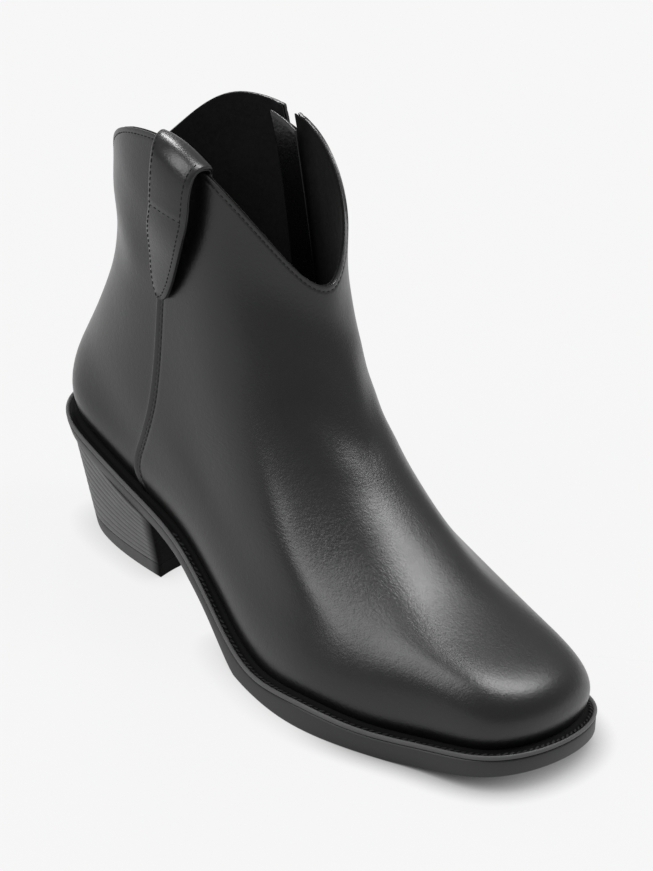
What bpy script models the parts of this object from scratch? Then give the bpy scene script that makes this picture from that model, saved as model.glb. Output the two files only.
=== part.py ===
"""Heeled ankle boot for the right foot, put together from its maker's pieces.

Lengths are in millimetres until a mesh is made. x runs forward from the back of the heel, y towards the
inner side of the foot and z up from the floor. A place on the upper is an angle round it (0 at the back,
90 degrees at the outer side, 180 at the front) and a height share, 0 at the welt and 1 at the collar.
"""

import bmesh
import bpy
import numpy as np
from mathutils import Matrix, Vector

MM = 0.001
GAP = 0.3

# Sizes of the boot: length and ball width are taken along the line where the upper meets the welt
LENGTH = 260.0
BALL_WIDTH = 92.0
HEEL_HEIGHT = 44.0
INSTEP_HEIGHT = 81.0
COLLAR_HEIGHT = 190.0

# Walls and sheets
WALL = 2.2
PANEL_STEP = 0.6
INSOLE_THICK = 2.6
INSOLE_INSET = 3.2
WELT_THICK = 3.0
LOOP_THICK = 2.4
EDGE_RISE = 0.6

# How far the sole stands out from the line where the upper meets the welt
WELT_OUT = 6.1
OUTSOLE_OUT = 5.5
OUTSOLE_FLARE = 1.0
FLARE_FROM = 90.0
FLARE_RUN = 60.0
HEEL_TAPER = 2.0
TAPER_END = 100.0
TAPER_RUN = 30.0
EDGE_CHAMFER = 0.6

# Heel
HEEL_LAYERS = 10
RIB_DEPTH = 0.35
RIB_SHARE = 0.12
TOP_PIECE_THICK = 6.0
TOP_PIECE_FROM = 0.85
BREAST_HOLLOW = 3.0

# Zip on the inner side: slot in the wall, slider with its bridge, and the pull that hangs on the bridge
ZIP_FOOT = 0.15
SLOT_HALF = 4.0
SLIDER_AT = 0.90
SLIDER_SIZE = (6.0, 11.0, 1.9)
SLIDER_OUT = 0.35
BRIDGE_WIDTH = 1.8
BRIDGE_THICK = 0.9
PULL_SIZE = (5.6, 22.0, 1.0)
PULL_BAR = 1.0
EYE_SIZE = (3.2, 6.6, 3.0)
HINGE_DOWN = 2.0
HINGE_OUT = 2.45


def table(columns, *rows):
    """A short table as one array for each named column."""
    return dict(zip(columns.split(), np.array(rows, float).T))


# Sole line: x in percent of the length, underside in percent of the heel height, thickness in mm
SOLE = table(
    "x underside thick",
    (0, 100, 8.0),
    (9.6, 90, 8.0),
    (21, 68.5, 8.6),
    (34.6, 50.5, 7.6),
    (48, 15.7, 7.4),
    (58.5, -6, 10.8),
    (69, -1.4, 11.3),
    (79.6, -1.4, 10.4),
    (90.4, 5, 9.8),
    (100, 16.4, 8.8),
)

# Back of the boot from the welt up: height share, x in percent of the length, z in percent of the collar's
BACK_LINE = table(
    "share x z",
    (0.00, 0.5, 27.4),
    (0.10, -1.5, 34.2),
    (0.25, -1.2, 42.1),
    (0.45, 1.9, 52.1),
    (0.65, 4.6, 64.2),
    (0.82, 4.2, 74.2),
    (1.00, 3.1, 83.2),
)

# Front ridge from the toe up: height share, x in percent of the length, z in percent of the instep height
FRONT_RIDGE = table(
    "share x z",
    (0.00, 99.5, 19.8),
    (0.07, 100, 31),
    (0.14, 97.9, 42.6),
    (0.26, 87.1, 54.2),
    (0.40, 73.8, 72),
    (0.55, 60.8, 100),
    (0.70, 52.7, 130),
    (0.85, 48.1, 157),
    (1.00, 46.5, 179),
)

# Collar from the back (0) to the front (1): z on the outer and inner side in percent of the collar height
COLLAR = table(
    "along outer_z inner_z",
    (0.00, 83.2, 83.2),
    (0.04, 86.8, 87.9),
    (0.12, 92.9, 95.0),
    (0.30, 98.9, 100.1),
    (0.50, 100, 99.9),
    (0.75, 93.7, 93.7),
    (1.00, 76.3, 76.3),
)

# Breadth in percent of the ball width, outer side negative: a row for each ring, a column for each station
STATIONS = {
    "back": 0, "outer_heel": 28, "outer_seat": 55, "outer_waist": 85, "outer_ball": 112, "outer_toe": 138,
    "outer_corner": 160, "front": 180, "inner_corner": 200, "inner_toe": 222, "inner_ball": 248,
    "inner_waist": 275, "inner_seat": 305, "inner_heel": 332,
}
RINGS = {
    "feather": 0, "bulge": 0.045, "shoulder": 0.14, "foot": 0.28,
    "instep": 0.45, "ankle": 0.64, "shaft": 0.82, "rim": 1,
}
BREADTH = {
    "feather": (0, -24.2, -28, -39.8, -54.7, -38.1, -26, 1, 28.5, 40.1, 44.1, 31.1, 29.1, 22.5),
    "bulge": (0, -26.5, -31.5, -42.3, -56, -40.5, -27.5, 1, 29.7, 42, 46, 34, 32, 24.5),
    "shoulder": (0, -25, -32.8, -42, -51, -40, -26, 1, 25, 38, 45.5, 36, 32.5, 23),
    "foot": (0, -20.5, -32.5, -38, -44.5, -34, -19, 1, 18, 29.5, 39, 36, 32.5, 20.5),
    "instep": (0, -18.5, -31.5, -36, -38, -27, -13.5, 1, 15, 25, 35, 35, 31.5, 19.5),
    "ankle": (0, -17, -30.5, -36, -36, -24.5, -12, 1, 12, 23, 32.5, 35, 30.5, 18.5),
    "shaft": (0, -17.5, -31.5, -36.5, -36, -23.5, -11, .5, 11.5, 23.5, 32.5, 36, 31.5, 18.5),
    "rim": (0, -18.5, -32.5, -37.5, -36, -23, -10.5, .5, 11, 24, 32.5, 37, 32.5, 19.5),
}

# Side seam (outer) and zip (inner): height share, x of each in percent of the length
SIDE_LINES = table(
    "share seam_x zip_x",
    (0.00, 24.0, 40.0),
    (0.045, 23.05, 39.9),
    (0.14, 23.7, 39.6),
    (0.31, 25.4, 38.0),
    (0.64, 25.4, 33.4),
    (0.82, 25.4, 29.0),
    (1.00, 25.4, 23.5),
)

# Pull loop from the collar to its tip: height share, then lift off the wall and edges from the seam in mm
PULL_LOOP = table(
    "share lift rear front",
    (1.000, 0.4, -7.0, 18.5),
    (1.009, 1.7, -6.0, 18.2),
    (1.010, 3.8, -4.4, 17.8),
    (1.002, 6.0, -2.6, 17.4),
    (0.985, 7.4, -1.2, 17.4),
    (0.950, 8.2, -0.4, 17.6),
    (0.900, 8.0, -0.2, 18.0),
    (0.850, 7.6, -0.8, 17.6),
    (0.800, 6.2, -2.6, 16.0),
    (0.750, 4.2, -3.2, 13.2),
    (0.700, 2.6, -3.6, 9.8),
    (0.665, 1.6, -3.2, 6.8),
    (0.645, 1.0, -2.2, 4.6),
    (0.634, 1.0, -1.0, 3.0),
)

# Heel in plan: share of the way down, then in mm, and how square its outline is
HEEL = table(
    "down back_x front_x half_width square",
    (0.0, -2.4, 68.5, 30.0, 2.7),
    (0.5, 5.8, 68.5, 26.0, 2.55),
    (1.0, 14.0, 69.0, 22.4, 2.45),
)

# Rounded edge of the welt: outwards and down, in mm
WELT_LIP = table(
    "out down",
    (-1.0, 0.0),
    (-0.3, 0.5),
    (0.0, 1.3),
    (-0.3, 2.2),
    (-1.0, 3.0),
)

# Strips of the zip inside the wall: ends as height shares, then in mm the rear and front edge from the zip's
# line, their depths under the skin, and the thickness
ZIP_STRIPS = {
    "zip_tape": dict(foot=0.115, head=0.965, edges=(-11, 11), depths=(2.7, 2.7), thick=0.8),
    "zip_teeth": dict(foot=0.165, head=0.96, edges=(-2.4, 2.4), depths=(0.9, 0.9), thick=1.4),
    "zip_guard": dict(foot=0.13, head=0.98, edges=(-9.4, 8.5), depths=(4.2, 5.4), thick=1.0),
}

# Bridge on the slider, seen from the side: down along the zip and out of it, in mm
BRIDGE = table(
    "down out",
    (-3.6, 1.0),
    (-3.6, 2.6),
    (-2.9, 3.7),
    (-1.6, 4.1),
    (1.6, 4.1),
    (2.9, 3.7),
    (3.6, 2.6),
    (3.6, 1.0),
)

# Mesh counts
ROUND_COUNTS = {
    "back_to_seam": 14, "seam": 1, "seam_to_front": 18, "front_to_zip": 18, "zip": 1, "zip_to_back": 14,
}
RING_SHARES = np.array((0, .025, .05, .08, .115, .15, .20, .25, .30, .36, .42, .48, .54, .60, .66, .72,
                        .78, .835, .885, .93, .967, 1))
SOLE_COUNT = 72
HEEL_COUNT = 15
LOOP_COLUMNS = 9
STRIP_COLUMNS = 5
STRIP_ROWS = 18


def mix(first, second, share):
    return first + (second - first) * share


def curve(knots, values, at):
    """The natural cubic curve through a value at each knot, read at any places."""
    at = np.asarray(at, float)
    count = len(knots)
    step = np.diff(knots)
    slope = np.diff(values) / step
    left = np.eye(count)
    right = np.zeros(count)
    for i in range(1, count - 1):
        left[i, i - 1:i + 2] = step[i - 1], 2 * (step[i - 1] + step[i]), step[i]
        right[i] = 6 * (slope[i] - slope[i - 1])
    second = np.linalg.solve(left, right)
    i = np.clip(np.searchsorted(knots, at, side="right") - 1, 0, count - 2)
    b = (at - knots[i]) / step[i]
    a = 1 - b
    bow = (a**3 - a) * second[i] + (b**3 - b) * second[i + 1]
    return a * values[i] + b * values[i + 1] + bow * step[i]**2 / 6


def closed_curve(knots, values, at):
    """The same round a full turn: the loop is repeated before and after, so that its ends join smoothly."""
    turn = 2 * np.pi
    return curve(np.concatenate((knots - turn, knots, knots + turn)), np.tile(values, 3), np.mod(at, turn))


def underside(x):
    """Height of the outsole's lower face, never below the floor."""
    return np.maximum(curve(SOLE["x"], SOLE["underside"], x / LENGTH * 100) * HEEL_HEIGHT / 100, 0)


def welt_top(x):
    at = x / LENGTH * 100
    return curve(SOLE["x"], SOLE["underside"], at) * HEEL_HEIGHT / 100 + curve(SOLE["x"], SOLE["thick"], at)


def edge_line(line, height):
    """A line in the boot's side view as its height shares, x and z, with its foot on the welt."""
    x = line["x"] * LENGTH / 100
    z = line["z"] * height / 100
    z[0] = welt_top(x[0])
    return {"share": line["share"], "x": x, "z": z}


def side_view(angle, share):
    """x and z of the upper, filled in between the welt, the collar, the back line and the front ridge."""
    back_line = edge_line(BACK_LINE, COLLAR_HEIGHT)
    front_ridge = edge_line(FRONT_RIDGE, INSTEP_HEIGHT)
    along = (1 - np.cos(angle)) / 2
    outer, inner = (curve(COLLAR["along"], COLLAR[side], along) for side in ("outer_z", "inner_z"))
    rim = np.where(np.sin(angle) < 0, inner, outer) * COLLAR_HEIGHT / 100
    low_x = mix(back_line["x"][0], front_ridge["x"][0], along)
    high_x = mix(back_line["x"][-1], front_ridge["x"][-1], along)
    found = []
    for axis, low, high in (("x", low_x, high_x), ("z", welt_top(low_x), rim)):
        back, front = (curve(line["share"], line[axis], share) for line in (back_line, front_ridge))
        low_corners = mix(back_line[axis][0], front_ridge[axis][0], along)
        high_corners = mix(back_line[axis][-1], front_ridge[axis][-1], along)
        found.append(mix(low, high, share) + mix(back, front, along) - mix(low_corners, high_corners, share))
    return found


def breadth(angle, share):
    """y of the upper: each ring's closed curve, weighted by one that is 1 at that ring and 0 at the rest."""
    stations = np.radians(list(STATIONS.values()))
    shares = np.array(list(RINGS.values()))
    total = 0
    for ring, weights in zip(RINGS, np.eye(len(RINGS))):
        row = np.array(BREADTH[ring]) * BALL_WIDTH / 100
        total = total + curve(shares, weights, share) * closed_curve(stations, row, angle)
    return total


def skin(angle, share):
    """Outer face of the upper."""
    angle, share = np.broadcast_arrays(np.asarray(angle, float), np.asarray(share, float))
    x, z = side_view(angle, share)
    return np.stack((x, breadth(angle, share), z), axis=-1)


def outward(angle, share, small=1e-3):
    """Unit normal of the upper, pointing out of it."""
    round_it = skin(angle + small, share) - skin(angle - small, share)
    up_it = skin(angle, share + small) - skin(angle, share - small)
    normal = np.cross(round_it, up_it)
    return normal / np.linalg.norm(normal, axis=-1, keepdims=True)


def wall(angle, share, lift):
    """A place on the upper, lifted off its outer face (negative goes into the wall)."""
    return skin(angle, share) + outward(angle, share) * np.asarray(lift)[..., None]


def angle_at(x, share, inner=False):
    """The angle at which the upper's outer or inner side passes this x, at each height share."""
    x, share = np.broadcast_arrays(np.asarray(x, float), np.asarray(share, float))
    low, high = np.zeros(x.shape), np.full(x.shape, np.pi)
    for _ in range(40):
        middle = (low + high) / 2
        behind = side_view(middle, share)[0] < x
        low, high = np.where(behind, middle, low), np.where(behind, high, middle)
    return 2 * np.pi - low if inner else low


def side_line(column, share):
    """x of the seam or the zip at each height share."""
    return curve(SIDE_LINES["share"], SIDE_LINES[column], np.clip(share, 0, 1)) * LENGTH / 100


def plan_outline(out):
    """The line where the upper meets the welt, moved outwards in plan."""
    angle = np.linspace(0, 2 * np.pi, SOLE_COUNT, endpoint=False)
    small = 1e-3
    run = (skin(angle + small, 0) - skin(angle - small, 0))[:, :2]
    normal = np.stack((run[:, 1], -run[:, 0]), axis=1) / np.linalg.norm(run, axis=1)[:, None]
    return skin(angle, 0)[:, :2] + normal * out


def sole_edge(inset=0.0):
    """The outsole's lower outline: drawn in over the heel, flared a little under the forefoot."""
    x = plan_outline(OUTSOLE_OUT)[:, :1]
    flare = OUTSOLE_FLARE * np.clip((x - FLARE_FROM) / FLARE_RUN, 0, 1)
    taper = HEEL_TAPER * np.clip((TAPER_END - x) / TAPER_RUN, 0, 1)
    return plan_outline(OUTSOLE_OUT + flare - taper - inset)


def level(outline, height):
    """An outline in plan laid at a height, or on a height that depends on x."""
    height = height(outline[:, 0]) if callable(height) else np.full(len(outline), float(height))
    return np.column_stack((outline, height))


def new_object(name, mesh, material, smooth=True):
    """An object in the boot's collection, under the empty that holds the boot's frame."""
    for polygon in mesh.polygons:
        polygon.use_smooth = smooth
    mesh.materials.append(material)
    obj = bpy.data.objects.new(name, mesh)
    bpy.data.collections["heeled_boot"].objects.link(obj)
    obj.parent = bpy.data.objects["boot_frame"]
    return obj


def faces_mesh(name, points, faces):
    mesh = bpy.data.meshes.new(name)
    mesh.from_pydata([tuple(point) for point in np.asarray(points).reshape(-1, 3) * MM], [], faces)
    return mesh


def block_mesh(name, size, middle):
    """A block with its size and middle given across, down and out."""
    shape = bmesh.new()
    place = Matrix.LocRotScale(Vector(middle) * MM, None, Vector(size) * MM)
    bmesh.ops.create_cube(shape, size=1, matrix=place)
    mesh = bpy.data.meshes.new(name)
    shape.to_mesh(mesh)
    shape.free()
    return mesh


def new_material(name, colour, roughness, metallic=0.0):
    material = bpy.data.materials.new(name)
    material.use_nodes = True
    shader = material.node_tree.nodes["Principled BSDF"]
    shader.inputs["Base Color"].default_value = (*colour, 1)
    shader.inputs["Roughness"].default_value = roughness
    shader.inputs["Metallic"].default_value = metallic
    return material


def grid_faces(rows, columns, closed=False, skip=()):
    """Quads of a grid whose points run row by row."""
    faces = []
    for r in range(rows - 1):
        for c in range(columns if closed else columns - 1):
            d = (c + 1) % columns
            if (r, c) not in skip:
                faces.append((r * columns + c, r * columns + d, (r + 1) * columns + d, (r + 1) * columns + c))
    return faces


def turned(faces):
    return [face[::-1] for face in faces]


def thicken(obj, thick, offset):
    """Gives an open surface its thickness: offset -1 grows it behind its faces, 1 in front, 0 both ways."""
    modifier = obj.modifiers.new("thickness", "SOLIDIFY")
    modifier.thickness = thick * MM
    modifier.offset = offset
    modifier.use_rim = True


def lid(count, first):
    """Closes a loop whose points mirror about its first and middle ones, by strips from side to side."""
    half = count // 2
    faces = [(0, 1, count - 1)]
    faces += [(j, j + 1, count - j - 1, count - j) for j in range(1, half - 1)]
    faces.append((half - 1, half, half + 1))
    return [tuple(first + i for i in face) for face in faces]


def stack(name, loops, material):
    """A solid through loops of points, from the top one down, closed at both ends."""
    count = len(loops[0])
    sides = turned(grid_faces(len(loops), count, closed=True))
    lids = lid(count, 0) + turned(lid(count, (len(loops) - 1) * count))
    return new_object(name, faces_mesh(name, np.concatenate(loops), sides + lids), material)


def make_upper(material):
    """The wall, open at the collar, underneath and along the zip. Its front panel steps up at the seam."""
    share = RING_SHARES[:, None]
    seam, zip_line = side_line("seam_x", share), side_line("zip_x", share)
    keys = (
        np.zeros_like(share),
        angle_at(seam - 0.5, share),
        angle_at(seam + 0.5, share),
        np.full_like(share, np.pi),
        angle_at(zip_line + SLOT_HALF, share, inner=True),
        angle_at(zip_line - SLOT_HALF, share, inner=True),
        np.full_like(share, 2 * np.pi),
    )
    counts = list(ROUND_COUNTS.values())
    runs = [mix(a, b, np.arange(n) / n) for a, b, n in zip(keys, keys[1:], counts)]
    angle = np.concatenate(runs, axis=1)
    columns = angle.shape[1]
    panel = sum(counts[:2])
    slot = sum(counts[:4])
    lift = np.zeros(angle.shape)
    lift[:, panel:slot + 1] = PANEL_STEP
    points = wall(angle, np.broadcast_to(share, angle.shape), lift)
    # The lower edge clears the welt inside and out
    lean = np.maximum(outward(angle[0], 0)[:, 2], 0)
    points[0, :, 2] += EDGE_RISE + WALL * lean
    cut = {(row, slot) for row in np.flatnonzero(RING_SHARES >= ZIP_FOOT)}
    faces = grid_faces(len(RING_SHARES), columns, closed=True, skip=cut)
    upper = new_object("upper", faces_mesh("upper", points, faces), material)
    thicken(upper, WALL, -1)


def make_sole(materials):
    loops = []
    for out, down in zip(WELT_LIP["out"], WELT_LIP["down"]):
        loops.append(level(plan_outline(WELT_OUT + out), welt_top) - (0, 0, down))
    stack("welt", loops, materials["rubber"])

    top = level(plan_outline(OUTSOLE_OUT), welt_top) - (0, 0, WELT_THICK + GAP)
    edge = level(sole_edge(), underside) + (0, 0, EDGE_CHAMFER)
    stack("outsole", [top, edge, level(sole_edge(EDGE_CHAMFER), underside)], materials["rubber"])

    lower = level(plan_outline(-INSOLE_INSET), welt_top) + (0, 0, GAP)
    stack("insole", [lower + (0, 0, INSOLE_THICK), lower], materials["sock"])


def heel_outline(down, inset=0.0):
    """The heel's outline in plan at this share of the way down: back, outer side, breast, inner side."""
    back, front, half, square = (float(curve(HEEL["down"], HEEL[column], down)) for column in list(HEEL)[1:])
    back, half = back + inset, half - inset
    turn = np.linspace(0, np.pi / 2, HEEL_COUNT)
    power = 2 / square
    x = front - (front - back) * np.abs(np.cos(turn)) ** power
    y = -half * np.sin(turn) ** power
    x[-1] = front
    x = np.concatenate((x, front - BREAST_HOLLOW * np.array((0.75, 1.0))))
    y = np.concatenate((y, (-half / 2, 0)))
    return np.column_stack((np.concatenate((x, x[-2:0:-1])), np.concatenate((y, -y[-2:0:-1]))))


def make_heel(materials):
    rows = [(0, 0.0)]
    for layer in range(HEEL_LAYERS):
        rows += [(layer + RIB_SHARE, 0.0), (layer + 1 - RIB_SHARE, 0.0), (layer + 1, RIB_DEPTH)]
    rows[-1] = (HEEL_LAYERS, 0.0)
    loops = []
    for place, inset in rows:
        down = place / HEEL_LAYERS
        outline = heel_outline(down * TOP_PIECE_FROM, inset)
        height = mix(underside(outline[:, 0]) - GAP, TOP_PIECE_THICK + GAP, down)
        loops.append(np.column_stack((outline, height)))
    stack("heel_block", loops, materials["rubber"])
    loops = [
        level(heel_outline(TOP_PIECE_FROM), TOP_PIECE_THICK),
        level(heel_outline(1.0), EDGE_CHAMFER),
        level(heel_outline(1.0, EDGE_CHAMFER), 0.0),
    ]
    stack("heel_top_piece", loops, materials["rubber"])


def make_pull_loop(material):
    share = PULL_LOOP["share"][:, None]
    across = np.linspace(0, 1, LOOP_COLUMNS)
    x = side_line("seam_x", share) + mix(PULL_LOOP["rear"][:, None], PULL_LOOP["front"][:, None], across)
    share = np.broadcast_to(share, x.shape)
    lift = np.broadcast_to(PULL_LOOP["lift"][:, None] + GAP, x.shape)
    points = wall(angle_at(x, np.minimum(share, 1)), share, lift)
    faces = turned(grid_faces(len(points), LOOP_COLUMNS))
    loop = new_object("pull_loop", faces_mesh("pull_loop", points, faces), material)
    thicken(loop, LOOP_THICK, 1)


def make_zip_strip(name, material):
    strip = ZIP_STRIPS[name]
    share = np.linspace(strip["foot"], strip["head"], STRIP_ROWS)[:, None]
    across = np.linspace(1, 0, STRIP_COLUMNS)
    x = side_line("zip_x", share) + mix(*strip["edges"], across)
    share = np.broadcast_to(share, x.shape)
    depth = np.broadcast_to(mix(*strip["depths"], across), x.shape)
    points = wall(angle_at(x, share, inner=True), share, -depth)
    obj = new_object(name, faces_mesh(name, points, grid_faces(STRIP_ROWS, STRIP_COLUMNS)), material)
    thicken(obj, strip["thick"], -1)


def zip_frame(share):
    """Placement on the zip: x across it, y down along it, z out of the boot."""
    places = np.array((share, share - 0.01, share + 0.01))
    angles = angle_at(side_line("zip_x", places), places, inner=True)
    middle, below, above = skin(angles, places)
    out = outward(angles[0], share)
    down = below - above
    down = down - out * (down @ out)
    down = down / np.linalg.norm(down)
    turn = np.column_stack((np.cross(down, out), down, out, middle * MM))
    return Matrix((*turn.tolist(), (0, 0, 0, 1)))


def combine(obj, operation, helper):
    """Joins a helper's shape to an object, or cuts it out, and keeps the helper out of the boot."""
    modifier = obj.modifiers.new(helper.name, "BOOLEAN")
    modifier.operation = operation
    modifier.solver = "EXACT"
    modifier.object = helper
    bpy.data.collections["heeled_boot"].objects.unlink(helper)
    bpy.data.collections["helpers"].objects.link(helper)
    helper.hide_render = True
    helper.display_type = "WIRE"


def make_slider(metal):
    frame = zip_frame(SLIDER_AT)
    body = block_mesh("zip_slider", SLIDER_SIZE, (0, 0, SLIDER_OUT))
    slider = new_object("zip_slider", body, metal, smooth=False)
    slider.matrix_local = frame
    bevel = slider.modifiers.new("rounding", "BEVEL")
    bevel.width = 0.4 * MM
    bevel.segments = 2
    places = list(zip(BRIDGE["down"], BRIDGE["out"]))
    points = [(side * BRIDGE_WIDTH / 2, down, out) for down, out in places for side in (-1, 1)]
    strip = faces_mesh("bridge_shape", points, grid_faces(len(places), 2))
    bridge = new_object("bridge_shape", strip, metal, smooth=False)
    bridge.matrix_local = frame
    thicken(bridge, BRIDGE_THICK, 0)
    combine(slider, "UNION", bridge)

    hinge = bpy.data.objects.new("pull_hinge", None)
    bpy.data.collections["heeled_boot"].objects.link(hinge)
    hinge.parent = bpy.data.objects["boot_frame"]
    hinge.matrix_local = frame @ Matrix.Translation((0, HINGE_DOWN * MM, HINGE_OUT * MM))
    plate = block_mesh("zip_pull", PULL_SIZE, (0, (PULL_SIZE[1] - PULL_BAR) / 2, 0))
    pull = new_object("zip_pull", plate, metal, smooth=False)
    eye = block_mesh("eye_shape", EYE_SIZE, (0, (EYE_SIZE[1] + PULL_BAR) / 2, 0))
    eye = new_object("eye_shape", eye, metal, smooth=False)
    for obj in (pull, eye):
        obj.parent = hinge
    combine(pull, "DIFFERENCE", eye)


def main():
    for obj in list(bpy.data.objects):
        bpy.data.objects.remove(obj)
    for name in ("heeled_boot", "helpers"):
        bpy.context.scene.collection.children.link(bpy.data.collections.new(name))
    bpy.data.collections["helpers"].hide_render = True

    # The frame's empty puts the middle of the sole's length and breadth over the origin
    reach = np.concatenate((plan_outline(WELT_OUT), sole_edge()))
    middle = (reach.min(axis=0) + reach.max(axis=0)) / 2
    root = bpy.data.objects.new("boot_frame", None)
    root.location = (-middle[0] * MM, -middle[1] * MM, 0)
    bpy.data.collections["heeled_boot"].objects.link(root)

    materials = {
        "leather": new_material("black_leather", (0.012, 0.012, 0.013), 0.38),
        "rubber": new_material("black_rubber", (0.014, 0.014, 0.014), 0.55),
        "sock": new_material("insole_leather", (0.02, 0.02, 0.02), 0.7),
        "tape": new_material("zip_fabric", (0.01, 0.01, 0.01), 0.8),
        "metal": new_material("zip_metal", (0.05, 0.05, 0.05), 0.35, 1.0),
    }
    make_upper(materials["leather"])
    make_sole(materials)
    make_heel(materials)
    make_pull_loop(materials["leather"])
    make_zip_strip("zip_tape", materials["tape"])
    make_zip_strip("zip_teeth", materials["tape"])
    make_zip_strip("zip_guard", materials["leather"])
    make_slider(materials["metal"])


main()
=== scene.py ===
"""Looks of a heeled ankle boot for the right foot, dressed onto its fixed frame.

The form is worked out in millimetres: x runs forward from the back of the heel, y towards the inner side of
the foot and z up from the floor. A place on the upper is an angle round it (0 at the back, 90 degrees at the
outer side, 180 at the front) and a height share, 0 at the welt and 1 at the collar. Meshes are in metres.
"""

import bmesh
import bpy
import numpy as np
from bpy.props import FloatProperty, FloatVectorProperty, IntProperty, PointerProperty
from mathutils import Matrix, Vector, noise


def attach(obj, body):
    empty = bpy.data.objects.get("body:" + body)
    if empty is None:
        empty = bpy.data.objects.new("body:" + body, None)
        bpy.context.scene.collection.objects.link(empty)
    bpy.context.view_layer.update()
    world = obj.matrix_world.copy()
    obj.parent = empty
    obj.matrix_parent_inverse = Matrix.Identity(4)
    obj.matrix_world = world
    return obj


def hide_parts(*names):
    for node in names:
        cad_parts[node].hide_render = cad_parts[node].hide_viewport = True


bl_info = {
    "name": "Heeled Boot Dressing",
    "version": (1, 0, 0),
    "blender": (4, 5, 0),
    "location": "3D View > Sidebar > Boot",
    "description": "Leather, suede, rubber, zip and stitching of an ankle boot over its fixed frame",
    "category": "Object",
}

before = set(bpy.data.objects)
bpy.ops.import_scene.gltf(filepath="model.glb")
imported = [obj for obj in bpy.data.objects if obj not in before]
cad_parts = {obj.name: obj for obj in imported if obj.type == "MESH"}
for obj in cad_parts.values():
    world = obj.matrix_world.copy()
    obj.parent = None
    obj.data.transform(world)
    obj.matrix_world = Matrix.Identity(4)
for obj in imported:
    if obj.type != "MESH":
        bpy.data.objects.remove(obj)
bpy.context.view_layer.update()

MM = 0.001
GAP = 0.3
TURN = 2 * np.pi

# Sizes of the last, as in the frame
LENGTH = 260.0
BALL_WIDTH = 92.0
HEEL_HEIGHT = 44.0
INSTEP_HEIGHT = 81.0
COLLAR_HEIGHT = 190.0
WALL = 2.2
PANEL_STEP = 0.6
WELT_OUT = 6.1
OUTSOLE_OUT = 5.5
OUTSOLE_FLARE = 1.0
FLARE_FROM = 90.0
FLARE_RUN = 60.0
HEEL_TAPER = 2.0
TAPER_END = 100.0
TAPER_RUN = 30.0
INSOLE_THICK = 2.6
INSOLE_INSET = 3.2
TOP_PIECE_THICK = 6.0
TOP_PIECE_FROM = 0.85
BREAST_HOLLOW = 3.0
ZIP_FOOT = 0.15
SLOT_HALF = 4.0
ZIP_ROW_GAP = 2.5
SLIDER_AT = 0.90
HINGE_DOWN = 2.0
HINGE_OUT = 2.45


def table(columns, *rows):
    """A short table as one array for each named column."""
    return dict(zip(columns.split(), np.array(rows, float).T))


# Sole line: x in percent of the length, underside in percent of the heel height, thickness in mm
SOLE = table(
    "x underside thick",
    (0, 100, 8.0),
    (9.6, 90, 8.0),
    (21, 68.5, 8.6),
    (34.6, 50.5, 7.6),
    (48, 15.7, 7.4),
    (58.5, -6, 10.8),
    (69, -1.4, 11.3),
    (79.6, -1.4, 10.4),
    (90.4, 5, 9.8),
    (100, 16.4, 8.8),
)

# Back of the boot from the welt up: height share, x in percent of the length, z in percent of the collar's
BACK_LINE = table(
    "share x z",
    (0.00, 0.5, 27.4),
    (0.10, -1.5, 34.2),
    (0.25, -1.2, 42.1),
    (0.45, 1.9, 52.1),
    (0.65, 4.6, 64.2),
    (0.82, 4.2, 74.2),
    (1.00, 3.1, 83.2),
)

# Front ridge from the toe up: height share, x in percent of the length, z in percent of the instep height
FRONT_RIDGE = table(
    "share x z",
    (0.00, 99.5, 19.8),
    (0.07, 100, 31),
    (0.14, 97.9, 42.6),
    (0.26, 87.1, 54.2),
    (0.40, 73.8, 72),
    (0.55, 60.8, 100),
    (0.70, 52.7, 130),
    (0.85, 48.1, 157),
    (1.00, 46.5, 179),
)

# Collar from the back (0) to the front (1): z on the outer and inner side in percent of the collar height
COLLAR = table(
    "along outer_z inner_z",
    (0.00, 83.2, 83.2),
    (0.04, 86.8, 87.9),
    (0.12, 92.9, 95.0),
    (0.30, 98.9, 100.1),
    (0.50, 100, 99.9),
    (0.75, 93.7, 93.7),
    (1.00, 76.3, 76.3),
)

# Breadth in percent of the ball width, outer side negative: a row for each ring, a column for each station
STATIONS = {
    "back": 0, "outer_heel": 28, "outer_seat": 55, "outer_waist": 85, "outer_ball": 112, "outer_toe": 138,
    "outer_corner": 160, "front": 180, "inner_corner": 200, "inner_toe": 222, "inner_ball": 248,
    "inner_waist": 275, "inner_seat": 305, "inner_heel": 332,
}
RINGS = {
    "feather": 0, "bulge": 0.045, "shoulder": 0.14, "foot": 0.28,
    "instep": 0.45, "ankle": 0.64, "shaft": 0.82, "rim": 1,
}
BREADTH = {
    "feather": (0, -24.2, -28, -39.8, -54.7, -38.1, -26, 1, 28.5, 40.1, 44.1, 31.1, 29.1, 22.5),
    "bulge": (0, -26.5, -31.5, -42.3, -56, -40.5, -27.5, 1, 29.7, 42, 46, 34, 32, 24.5),
    "shoulder": (0, -25, -32.8, -42, -51, -40, -26, 1, 25, 38, 45.5, 36, 32.5, 23),
    "foot": (0, -20.5, -32.5, -38, -44.5, -34, -19, 1, 18, 29.5, 39, 36, 32.5, 20.5),
    "instep": (0, -18.5, -31.5, -36, -38, -27, -13.5, 1, 15, 25, 35, 35, 31.5, 19.5),
    "ankle": (0, -17, -30.5, -36, -36, -24.5, -12, 1, 12, 23, 32.5, 35, 30.5, 18.5),
    "shaft": (0, -17.5, -31.5, -36.5, -36, -23.5, -11, .5, 11.5, 23.5, 32.5, 36, 31.5, 18.5),
    "rim": (0, -18.5, -32.5, -37.5, -36, -23, -10.5, .5, 11, 24, 32.5, 37, 32.5, 19.5),
}

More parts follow.
